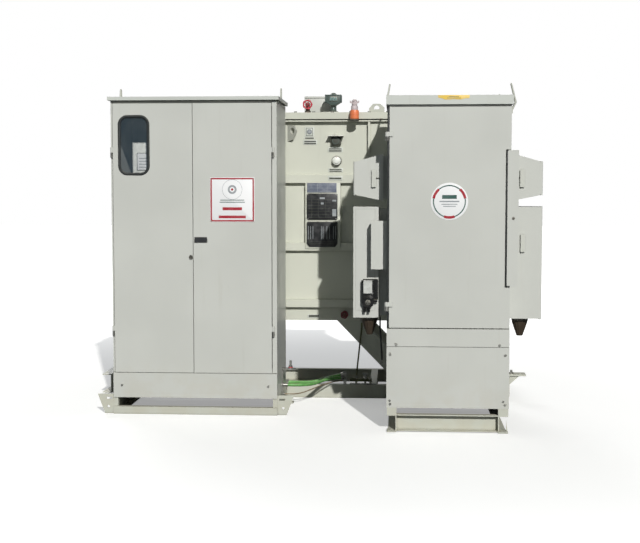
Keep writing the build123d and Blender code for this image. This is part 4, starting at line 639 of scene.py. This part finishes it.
def door_sign():
    """A square bordered sign with plain marks: a ring, a dot and bars."""
    piece = Piece("door_sign", SIGN_WHITE)
    x, z = (-640, -338), (1321, 1621)
    front = MV_DOOR_FRONT
    piece.slab(rounded(x, z, 6, 4), (front - 1.6, front + 0.4), None, 0.5)
    outer, inner = 3, 13
    layer = (front - 2.0, front - 1.4)
    for side_x in ((x[0] + outer, x[0] + inner), (x[1] - inner, x[1] - outer)):
        piece.mark(side_x, (z[0] + outer, z[1] - outer), layer, SIGN_RED)
    for side_z in ((z[0] + outer, z[0] + inner), (z[1] - inner, z[1] - outer)):
        piece.mark((x[0] + inner - 1, x[1] - inner + 1), side_z, layer, SIGN_RED)
    middle = (x[0] + x[1]) / 2
    centre = (middle, front - 1.4, 1540)
    piece.turned(flat_ring(66, 68, 0, 0.6), centre, FORWARD, PRINT_GREY, 64)
    piece.turned(flat_ring(17, 30, 0, 0.6), centre, FORWARD, PRINT_GREY, 48)
    piece.turned(round_bar(8, 0, 0.7, 0.2), centre, FORWARD, SIGN_RED, 32)
    bars = ((1466, 82, 5, SIGN_GREEN), (1452, 86, 5, SIGN_GREEN), (1400, 66, 20, SIGN_RED),
            (1346, 92, 18, SIGN_RED))
    for bar_z, half, tall, ink in bars:
        piece.mark((middle - half, middle + half), (bar_z, bar_z + tall), layer, ink, 2, 3)
    for corner_x in (x[0] + 8, x[1] - 8):
        for corner_z in (z[0] + 8, z[1] - 8):
            screw(piece, (corner_x, front - 1.8, corner_z), FORWARD, 2.6, ZINC)
    piece.done("mv_door_right", "knob_white")


def arc_band(piece, centre, radii, angles, y, material, steps=14):
    """A flat band along part of a circle, seen from the front."""
    outline = []
    for radius, order in ((radii[1], range(steps + 1)), (radii[0], range(steps, -1, -1))):
        for step in order:
            angle = math.radians(angles[0] + (angles[1] - angles[0]) * step / steps)
            outline.append((centre[0] + radius * math.cos(angle), centre[1] + radius * math.sin(angle)))
    piece.slab(outline, y, material, 0)


def door_disc():
    """A round sticker with a plain ring and plain bars."""
    piece = Piece("door_disc", SIGN_WHITE)
    front = LV_DOOR_FRONT
    centre = (950, 1466)
    piece.turned(round_bar(117, -0.4, 1.2, 0.4), (centre[0], front, centre[1]), FORWARD, None, 96)
    layer = (front - 1.8, front - 1.0)
    for start in (0, 180):
        arc_band(piece, centre, (96, 103), (start, start + 180), layer, SIGN_GREEN, 40)
    for middle in (30, 150, 270):
        angles = (middle - 19, middle + 19)
        arc_band(piece, centre, (92, 108), angles, (front - 2.1, front - 1.0), SIGN_RED, 12)
    bars = ((1482, 46, 24, SIGN_GREEN), (1462, 62, 8, PRINT_GREY), (1446, 50, 5, PRINT_GREY),
            (1433, 40, 5, PRINT_GREY))
    for bar_z, half, tall, ink in bars:
        piece.mark((centre[0] - half, centre[0] + half), (bar_z, bar_z + tall), layer, ink, 2, 3)
    piece.done("lv_door", "knob_white")


def roof_label():
    """A yellow sticker on the roof's edge, its lower edge torn."""
    piece = Piece("roof_label", LABEL_YELLOW)
    low, high = 2099, 2127
    outline = [(873, high), (876, low + 12), (902, low + 8), (914, low + 1), (952, low), (968, low + 3),
               (1012, low + 1), (1046, low + 7), (1068, low + 9), (1071, high)]
    piece.slab(outline, (LV_ROOF_FRONT - 0.8, LV_ROOF_FRONT + 0.3), None, 0.2)
    for left, right, z in ((940, 1004, 2115), (930, 1016, 2107)):
        piece.mark((left, right), (z, z + 3), (LV_ROOF_FRONT - 1.2, LV_ROOF_FRONT - 0.7), PRINT_DARK)
    piece.done("root", "knob_white")


def rating_plates():
    """The bracket on the tank's ribs with its three plates, and the small plates round it."""
    front = RATING_FRONT
    piece = Piece("rating_bracket", TANK)
    piece.slab(rounded((-49, 208), (1106, 1590), 3, 3), (front, front + 5), None, 0.8)
    for x in ((-49, -44), (203, 208)):
        piece.box(x, (front + 3, TANK_FRONT), (1153, 1581), None, 0.8)
    for x in (-20, 45, 108, 168):
        screw(piece, (x, front, 1310), FORWARD, 4.5)
    piece.done("root", "tank_paint", "rating_plates")

    strip = Piece("rating_strip", PLATE_SLATE)
    face = (front - 2.6, front - 1.8)
    strip.slab(rounded((-35, 180), (1517, 1586), 2, 3), (front - 2, front), None, 0.4)
    for row in range(6):
        z = 1523 + row * 10.5
        strip.mark((-28, 173), (z, z + 2.4), face, PRINT_GREY, 0.6)
    for x in (40, 110):
        strip.mark((x, x + 2), (1520, 1583), face, PRINT_GREY, 0.6)
    strip.done("root", "plate_black", "rating_plates")

    face = (front - 6.6, front - 5.8)
    upper = Piece("rating_plate_upper", PLATE_BLACK)
    upper.slab(rounded((-38, 187), (1318, 1510), 12, 6), (front - 6, front), None, 0.8)
    for x, z in (((58, 94), (1470, 1482)), ((150, 178), (1452, 1464)), ((150, 178), (1344, 1396)),
                 ((66, 86), (1430, 1446))):
        upper.mark(x, z, face, PRINT_GREY, 1.5)
    for row in range(7):
        z = 1334 + row * 22
        upper.mark((-28, 140), (z, z + 1.6), face, PRINT_DARK, 0.4)
    for column in (-2, 46, 100):
        upper.mark((column, column + 1.6), (1334, 1468), face, PRINT_DARK, 0.4)
    for x in (-29, 178):
        for z in (1327, 1501):
            screw(upper, (x, front - 6, z), FORWARD, 2.4, ZINC)
    upper.done("root", "plate_black", "rating_plates")

    lower = Piece("rating_plate_lower", PLATE_BLACK)
    outline = [(-38, 1141), (-20, 1119), (169, 1119), (187, 1141), (187, 1297), (181, 1303), (-32, 1303),
               (-38, 1297)]
    lower.slab(outline, (front - 6, front), None, 0.8)
    for x in (-28, -11, 6, 68, 80, 108, 128, 156, 172):
        lower.mark((x, x + 3), (1176, 1272), face, PRINT_GREY, 0.8)
    for row in range(3):
        z = 1132 + row * 12
        lower.mark((-14, 162), (z, z + 2), face, PRINT_DARK, 0.6)
    lower.done("root", "plate_black", "rating_plates")

    tags = Piece("tank_tags", PLATE_PALE)
    front = TANK_FRONT
    face = (front - 3.6, front - 2.8)
    tags.slab(rounded((-56, 14), (1924, 1997), 3, 3), (front - 3, front), None, 0.5)
    for x, z in (((-46, -43), (1932, 1989)), ((1, 4), (1932, 1989)), ((-46, 4), (1932, 1935)),
                 ((-46, 4), (1986, 1989))):
        tags.mark(x, z, face, PRINT_DARK, 0.8)
    tags.turned(round_bar(19, 0, 2.6, 0.6), (-21, front - 3, 1961), FORWARD, PRINT_GREY, 32)
    tags.turned(flat_ring(12, 14, 0, 0.6), (-21, front - 5.4, 1961), FORWARD, PRINT_DARK, 32)
    labels = (((-68, 36), (1866, 1902)), ((113, 224), (1812, 1847)), ((117, 224), (1665, 1696)),
              ((-62, 20), (1908, 1920)), ((-36, 55), (592, 618)))
    for x, z in labels:
        tags.slab(rounded(x, z, 3, 3), (front - 3, front), None, 0.5)
        tall = z[1] - z[0]
        bars = ((0.12, 0.40), (0.54, 0.80)) if tall > 30 else ((0.2, 0.8),)
        for low, high in bars:
            bar_z = (z[0] + tall * low, z[0] + tall * high)
            tags.mark((x[0] + 9, x[1] - 9), bar_z, face, PRINT_DARK)
    rib_front = TANK_FRONT - RIB_PROUD
    tags.slab(rounded((117, 224), (1606, 1638), 3, 3), (rib_front - 3, rib_front), None, 0.5)
    tags.mark((126, 215), (1614, 1626), (rib_front - 3.6, rib_front - 2.8), PRINT_DARK)
    tags.done("root", "plate_black", "rating_plates")


# ---- gauges, valves and wheels ------------------------------------------------------------
def gas_relay():
    """The oil relay on the cover: foot, tapered neck, six-sided body with a window, cap."""
    x, y = RELAY
    z = COVER_TOP
    piece = Piece("gas_relay", GAUGE_GREEN)
    piece.box((x - 90, x + 42), (y - 60, y + 60), (z, z + 10), TANK, 2)
    neck = [(0, 8), (34, 8), (34, 14), (25, 19), (17, 34), (16, 50), (22, 58), (24, 64), (0, 64)]
    piece.turned(neck, (x, y, z))
    outline = [(x - 20, z + 60), (x + 20, z + 60), (x + 58, z + 84),
               (x + 58, z + 134), (x - 58, z + 134), (x - 58, z + 84)]
    piece.slab(outline, (y - 42, y + 44), None, 3)
    for flange_x in ((x - 61, x - 52), (x + 52, x + 61)):
        piece.box(flange_x, (y - 46, y + 46), (z + 82, z + 137), None, 2)
    piece.box((x - 60, x + 60), (y - 46, y + 46), (z + 128, z + 137), None, 2)
    frame_outline = rounded((x - 31, x + 31), (z + 88, z + 122), 8, 5)
    piece.slab(frame_outline, (y - 46, y - 40), NICKEL, 1)
    for left in (x - 27, x - 8, x + 11):
        pane = rounded((left, left + 16), (z + 92, z + 118), 3, 3)
        piece.slab(pane, (y - 48, y - 45), LENS, 0.8)
    cap = [(0, 132), (27, 132), (27, 140), (20, 144), (15, 150), (8, 152), (0, 152)]
    piece.turned(cap, (x, y, z))
    for bolt_x in (x - 46, x + 46):
        for bolt_y in (y - 30, y + 30):
            hexagon_nut(piece, (bolt_x * 0.6 + x * 0.4, bolt_y, z + 9), UP, 7, 6, ZINC)
    piece.done("root", "gauge_grey", "protection_gauges")


def cover_box():
    """The terminal box that stands on the cover."""
    x, y, z = (-74, 160), (RELAY[1] + 110, RELAY[1] + 220), (COVER_TOP, COVER_TOP + 136)
    piece = Piece("cover_box", CABINET)
    piece.box(x, y, (z[0], z[1] - 16), None, 2)
    piece.box((x[0] + 1, x[1] - 1), (y[0] + 1, y[1] - 1), (z[1] - 18, z[1] - 14), GASKET, 0.8)
    piece.box(x, y, (z[1] - 14, z[1]), None, 2)
    for screw_x in (x[0] + 12, x[1] - 12):
        for screw_y in (y[0] + 12, y[1] - 12):
            screw(piece, (screw_x, screw_y, z[1] - 4), UP, 3.4, ZINC)
    piece.done("root", "gauge_grey", "protection_gauges")


def level_gauge():
    """The oil level gauge under its rain shelf, with painted shade under the shelf."""
    middle = 173
    front = TANK_FRONT
    top = 1935
    piece = Piece("level_gauge", BOSS_DARK)
    # painted shade: the shelf's dark lower layer, a little wider than its white top, stands for the shadow
    # under the shelf
    piece.box((117, 229), (front - 70, front), (top - 12, top - 8), None, 1)
    piece.box((119, 227), (front - 69, front), (top - 8, top - 4), WHITE_PLASTIC, 1)
    piece.turned([(0, 0), (8, 0), (8, 20), (5, 26), (0, 26)], (middle, front - 30, top - 5), UP, TANK)
    piece.box((middle - 34, middle + 38), (front - 34, front), (1862, top - 12), None, 5, 3)
    centre = (middle, front, 1894)
    piece.turned([(0, 30), (28, 30), (30, 34), (30, 40), (26, 41), (0, 41)], centre, FORWARD)
    piece.turned(flat_ring(20, 24, 39, 42), centre, FORWARD, GAUGE_GREEN)
    piece.done("root", "gauge_grey", "protection_gauges")


def wheel(name, base, direction, radius, rim, material):
    """A lobed handwheel with spokes and a hub, about an axis from its base, not yet made."""
    piece = Piece(name, material)
    lift = rim + 4

    def lobes(angle, height):
        return 1 + 0.05 * math.cos(5 * angle) if abs(height - lift) < rim * 1.2 else 1

    piece.turned(hoop(radius - rim * 0.85, rim * 0.8, 12, 1.0, lift), base, direction, None, 60, lobes)
    hub = [(rim * 1.02, 0), (rim * 1.7, 0), (rim * 1.8, 4), (rim * 1.5, rim * 1.6), (rim * 1.3, rim * 2 + 8),
           (rim * 1.02, rim * 2 + 8)]
    piece.turned(hub, base, direction)
    turn = turn_to(direction)
    for spoke in range(5):
        angle = 2 * math.pi * spoke / 5
        ends = []
        for reach in (rim * 1.2, radius * 0.55, radius - rim * 1.2):
            spot = Vector((reach * math.cos(angle), reach * math.sin(angle), lift))
            ends.append(Vector(base) + turn @ spot)
        piece.tube(ends, rim * 0.42, None, 10)
    return piece


def valves():
    """The fill, drain and relief valves and the tap changer, each with its moving part."""
    x, y = FILL_VALVE
    fill = Piece("fill_valve_body", VALVE_DARK)
    fill_z = COVER_TOP + 63
    fill.turned([(0, 0), (24, 0), (24, 8), (19, 10), (16, 18), (15, 50), (0, 50)], (x, y, COVER_TOP))
    fill.turned([(0, -17), (15, -17), (17, -14), (17, 10), (13, 16), (7, 17), (7, 46), (5, 48), (0, 48)],
                (x, y, fill_z), FORWARD)
    hexagon_nut(fill, (x, y, COVER_TOP + 10), UP, 21, 9, BOSS_DARK)
    fill.done("root", "valve_metal", "valve_bodies")
    hand = wheel("fill_wheel", (x, y - 19, fill_z), FORWARD, 36, 7, WHEEL_RED)
    hexagon_nut(hand, (x, y - 40, fill_z), FORWARD, 10, 6, WHEEL_RED)
    hand.done("fill_valve_wheel", "wheel_red", "fill_valve_wheel")

    x, z = DRAIN
    drain = Piece("drain_valve_body", VALVE_DARK)
    drain.turned([(0, 0), (24, 0), (24, 8), (18, 11), (15, 24), (20, 32), (20, 44), (14, 50), (13, 60),
                  (6, 62), (6, 84), (4, 88), (0, 88)], (x, TANK_FRONT, z), FORWARD)
    hexagon_nut(drain, (x, TANK_FRONT - 10, z), FORWARD, 22, 9)
    drain.done("root", "valve_metal", "valve_bodies")
    # the drain wheel's darker red is painted shade
    wheel("drain_wheel", (x, TANK_FRONT - 64, z), FORWARD, 28, 6, WHEEL_RED_SHADED).done(
        "drain_valve_wheel", "wheel_red", "drain_valve_wheel")

    x, y = RELIEF
    relief = Piece("relief_valve_body", RELIEF_ORANGE)
    base = (x, y, COVER_TOP)
    relief.turned([(0, -54), (28, -54), (33, -48), (33, -2), (32, 4), (29, 12), (0, 12)], base)
    neck = [(0, 12), (24, 12), (25, 16), (25, 38), (22, 44), (6, 44), (6, 80), (0, 80)]
    relief.turned(neck, base, UP, CAP_GREY)
    relief.turned([(0, -68), (30, -68), (33, -65), (33, -55), (30, -53), (0, -53)], base, UP, BOSS_DARK)
    relief.box((x - 14, x + 14), (y, TANK_FRONT - 55), (COVER_TOP - 40, COVER_TOP - 12), TANK, 2)
    relief.turned(hoop(33.4, 1.6, 8, 1.0, -20), base, UP, None, 48)
    relief.done("root", "valve_metal", "valve_bodies")
    cap = Piece("relief_cap", CAP_GREY)
    cap.turned([(6.2, 46), (19, 46), (20, 48), (20, 58), (16, 62), (16, 74), (20, 78), (16, 84), (10, 89),
                (0, 90), (0, 83), (6.2, 83)], base)
    for side in (-1, 1):
        half = [(13, 60), (28, 62), (34, 68), (34, 78), (30, 80), (22, 73), (13, 72)]
        wing = [(x + side * across, COVER_TOP + up) for across, up in half]
        cap.slab(wing, (y - 6, y + 6), None, 1.2)
    cap.done("relief_valve_cap", "relief_cap_metal", "relief_valve_cap")

    x, z = TAP
    boss = Piece("tap_changer_boss", BOSS_DARK)
    boss.turned([(0, 0), (36, 0), (36, 8), (34, 13), (32, 14), (9, 14), (9, 30), (0, 30)], (x, TANK_FRONT, z),
                FORWARD)
    for step in range(6):
        angle = math.pi / 3 * step
        spot = (x + 32.5 * math.cos(angle), TANK_FRONT - 11, z + 32.5 * math.sin(angle))
        hexagon_nut(boss, spot, FORWARD, 3, 4, ZINC)
    boss.done("root", "valve_metal", "valve_bodies")
    knob = Piece("tap_knob", WHITE_PLASTIC)
    knob.turned([(9.2, 14.8), (29, 14.8), (31, 17), (31, 34), (29, 37), (24, 38), (20, 46), (15, 48), (0, 48),
                 (0, 31), (9.2, 31)], (x, TANK_FRONT, z), FORWARD, None, 48,
                lambda angle, height: 1 + (0.012 * math.cos(24 * angle) if 16 < height < 36 else 0))
    knob.box((x - 1.5, x + 1.5), (TANK_FRONT - 39, TANK_FRONT - 36), (z + 18, z + 29), SIGN_RED, 0.4)
    knob.done("tap_changer_knob", "knob_white", "tap_changer_knob")


# ---- boots, socket and small hardware -----------------------------------------------------
def cable_boots():
    """Tapered rubber boots with folds down their sides, clamped under the side boxes."""

    def folds(angle, height):
        return 1 + (0.035 * math.cos(14 * angle) if height < -24 else 0)

    for number, x in enumerate(BOOTS):
        piece = Piece("cable_boot_" + "ab"[number], BOOT)
        profile = [(0, -119), (18, -119), (20, -116), (24, -104), (30, -86), (37, -66), (43, -48), (47, -36),
                   (49, -28), (50, -23), (53, -20), (53, -2), (51, 0), (0, 0)]
        piece.turned(profile, (x, BOOT_Y, BOX_BOTTOM), UP, None, 112, folds)
        piece.turned(hoop(52.5, 1.5, 8, 3.0, -11), (x, BOOT_Y, BOX_BOTTOM), UP, NICKEL, 56)
        piece.done("root", "boot_rubber", "cable_boots")


def shade_seals_and_pins():
    """Dark rubber strips beside the cabinet's door that also paint the shadow lines there, latch pins by the
    hood levers, and small skid hardware.
    """
    shade_seals = Piece("door_shade_seals", GASKET)
    strip_front = LV_DOOR_FRONT - 8
    # painted shadow: dark strips along the lock strip's left edge and ends, and in the gap at the door's left
    # edge
    for right, z in ((1311, (930, 1786)), (1314, (1782, 1786)), (1330, (930, 937))):
        shade_seals.box((1303, right), (strip_front - 1.5, strip_front + 1), z, None, 0.7)
    shade_seals.box((562, 572), (LV_DOOR_FRONT + 8, LV_DOOR_FRONT + 24), (667, 2057), None, 1)
    shade_seals.done("root", "gasket_rubber")

    for side, door in ((-1, "left_hood_door"), (1, "right_hood_door")):
        pin = Piece(door + "_pins", BOSS_DARK)
        for reach in (444, 456):
            screw(pin, (LV_CENTRE + side * reach, SIDE_FRONT, 1612), FORWARD, 4)
        pin.done(door, "zinc_hardware")

    bolt = Piece("tie_down_bolt", ZINC)
    lug_top = (1462, 60, 193)
    washer_top = (1462, 60, 196)
    bolt.turned(flat_ring(8.5, 17, 0, 3), lug_top, UP)
    hexagon_nut(bolt, washer_top, UP, 15, 11)
    bolt.turned(round_bar(8, 0, 26, 1.5), washer_top, UP)
    bolt.done("root", "zinc_hardware")


def socket_trim():
    """Ribs, a round collar and screws on the power socket."""
    piece = Piece("socket_trim", SOCKET_BLACK)
    left, right = 396, 476
    front = -988
    for row in range(6):
        rib_z = 838 + row * 9
        piece.box((left + 6, right - 6), (front - 3, front + 2), (rib_z, rib_z + 4), None, 1)
    centre = (436, front, 810)
    piece.turned(flat_ring(20, 33, 0, 6), centre, FORWARD, None, 40)
    piece.turned(hoop(31, 3, 10, 1.0, 4), centre, FORWARD, None, 40)
    piece.turned(round_bar(18, 0, 3, 0.8), centre, FORWARD, NICKEL, 32)
    for step in range(3):
        angle = math.pi / 2 + 2 * math.pi * step / 3
        spot = (centre[0] + 10 * math.cos(angle), front, centre[2] + 10 * math.sin(angle))
        piece.turned(round_bar(3.2, 2, 5, 0.6), spot, FORWARD, BLACK_PLASTIC, 16)
    for gland_x in (left + 18, left + 46):
        hexagon_nut(piece, (gland_x, SIDE_FRONT - 26, 771), DOWN, 12, 9, SOCKET_BLACK)
    piece.done("root", "socket_black")


def earth_details():
    """The sleeve over the joint on the earth bar, crimped lugs, and nuts on the studs."""
    sleeve = Piece("earth_sleeve", OLIVE_SHEATH)
    points = [(280 + step * 10, 78 + 1.2 * math.sin(step * 1.1), 134 + 1.6 * math.sin(step * 0.7 + 1))
              for step in range(17)]
    sleeve.tube(points, 13, None, 18, lambda step: 1 + 0.05 * math.sin(step * 1.7))
    sleeve.done("root", "cable_olive")

    nuts = Piece("earth_nuts", ZINC)
    for x, z in ((392, 176), (430, 152)):
        hexagon_nut(nuts, (x, 78, z - 30), UP, 13, 9)
        hexagon_nut(nuts, (x, 78, z - 16), UP, 13, 9)
        nuts.turned(flat_ring(7, 16, -33, -30), (x, 78, z), UP)
    nuts.turned(flat_ring(7, 17, 0, 3), (-128, -300, 274), UP)
    nuts.turned(flat_ring(7, 16, 3, 8), (-128, -300, 274), UP, WHEEL_RED)
    hexagon_nut(nuts, (-128, -300, 282), UP, 14, 11)
    nuts.done("root", "zinc_hardware")


def welds():
    """Weld beads along the tank's ribs."""
    piece = Piece("tank_welds", TANK)

    def ripple(step):
        return 1 + 0.16 * math.sin(step * 2.2) + 0.06 * math.sin(step * 0.9)

    for rib in RIB_Z:
        for z in (rib - 1, rib + RIB_HEIGHT + 1):
            points = [(-632 + step * 11.9, TANK_FRONT - 1, z) for step in range(120)]
            piece.tube(points, 3.4, None, 8, ripple)
    piece.done("root", "tank_paint")


def panel_screws():
    """Screws that hold the cabinet's plinth panels."""
    piece = Piece("plinth_screws", ZINC)
    front = span_of("plinth_panels")[1][0]
    for x, z in ((582, 502), (1307, 494), (580, 200), (1297, 200)):
        screw(piece, (x, front, z), FORWARD, 5)
    for x, z in ((615, 565), (1269, 560)):
        screw(piece, (x, LV_DOOR_FRONT, z), FORWARD, 4)
    piece.done("root", "zinc_hardware")


def switchgear_front():
    """Plain line marks and indicator windows on the ring main unit."""
    piece = Piece("switchgear_marks", BOSS_DARK)
    front = RMU_FRONT
    layer = (front - 1, front + 0.3)
    for x in (-1010, -530):
        piece.turned(flat_ring(78, 84, 0, 1.2), (x, front, 1260), FORWARD, None, 64)
        piece.mark((x - 3, x + 3), (1345, 1420), layer, None)
        piece.mark((x - 3, x + 3), (1000, 1175), layer, None)
        piece.turned(round_bar(16, 0, 4, 1), (x, front, 980), FORWARD, LENS, 32)
    piece.mark((-1010, -530), (1417, 1423), layer, None)
    for x in (-800, -740):
        piece.box((x - 22, x + 22), (front - 6, front + 1), (1080, 1120), LENS, 2)
    piece.done("root", "switchgear_grey")


# ---- camera, floor and light --------------------------------------------------------------
def stage():
    """The camera, a pale floor, the sun, a soft light from behind, and the sky."""
    scene = bpy.context.scene
    camera = bpy.data.objects.new("camera", bpy.data.cameras.new("camera"))
    camera.data.lens = 67.5
    camera.data.sensor_width = 36
    camera.location = (0.628, -8.73, 1.55)
    camera.rotation_euler = (math.radians(90 - 3.98), 0, math.radians(3.71))
    camera.data.clip_end = 200
    scene.collection.objects.link(camera)
    scene.camera = camera

    floor_mesh = bpy.data.meshes.new("floor")
    reach = 40
    corners = [(-reach, -reach, 0), (reach, -reach, 0), (reach, reach, 0), (-reach, reach, 0)]
    floor_mesh.from_pydata(corners, [], [(0, 1, 2, 3)])
    floor = bpy.data.objects.new("floor", floor_mesh)
    floor_shade = Shade("floor", roughness=0.9)
    direct = floor_shade.node("ShaderNodeLightPath", {}).outputs["Is Camera Ray"]
    tone = floor_shade.mix(direct, (0.16, 0.17, 0.18, 1), (0.88, 0.88, 0.87, 1))
    floor_shade.put("Base Color", tone)
    distance = floor_shade.node("ShaderNodeVectorMath", {0: floor_shade.place}, operation="LENGTH")
    far = distance.outputs["Value"]
    glow = floor_shade.maths("MULTIPLY", floor_shade.between(far, 1.5, 7.0, 0.34, 0.8), direct)
    floor_shade.put("Emission Color", (1, 1, 1, 1))
    floor_shade.put("Emission Strength", glow)
    floor_mesh.materials.append(floor_shade.material)
    scene.collection.objects.link(floor)

    sun = bpy.data.lights.new("key", "SUN")
    sun.energy = 3.15
    sun.angle = math.radians(1.0)
    sun.color = (1.0, 0.985, 0.955)
    key = bpy.data.objects.new("key", sun)
    key.rotation_euler = Vector((-0.29, 1.0, -0.6)).to_track_quat("-Z", "Y").to_euler()
    scene.collection.objects.link(key)
    soft = bpy.data.lights.new("back_fill", "SUN")
    soft.energy = 0.9
    soft.angle = math.radians(30)
    fill = bpy.data.objects.new("back_fill", soft)
    fill.rotation_euler = Vector((0.45, -1.0, -0.55)).to_track_quat("-Z", "Y").to_euler()
    scene.collection.objects.link(fill)

    world = bpy.data.worlds.new("studio")
    scene.world = world
    world.use_nodes = True
    tree = world.node_tree
    light = tree.nodes["Background"]
    light.inputs["Color"].default_value = (0.80, 0.92, 1.0, 1)
    light.inputs["Strength"].default_value = 0.11
    seen = tree.nodes.new("ShaderNodeBackground")
    seen.inputs["Color"].default_value = (1, 1, 1, 1)
    seen.inputs["Strength"].default_value = 1.0
    path = tree.nodes.new("ShaderNodeLightPath")
    blend = tree.nodes.new("ShaderNodeMixShader")
    tree.links.new(path.outputs["Is Camera Ray"], blend.inputs[0])
    tree.links.new(light.outputs[0], blend.inputs[1])
    tree.links.new(seen.outputs[0], blend.inputs[2])
    tree.links.new(blend.outputs[0], tree.nodes["World Output"].inputs["Surface"])
    scene.view_settings.view_transform = "Standard"


stage()
cords()
window_rubber()
meter_card()
door_sign()
door_disc()
roof_label()
rating_plates()
gas_relay()
cover_box()
level_gauge()
valves()
cable_boots()
shade_seals_and_pins()
socket_trim()
earth_details()
welds()
panel_screws()
switchgear_front()
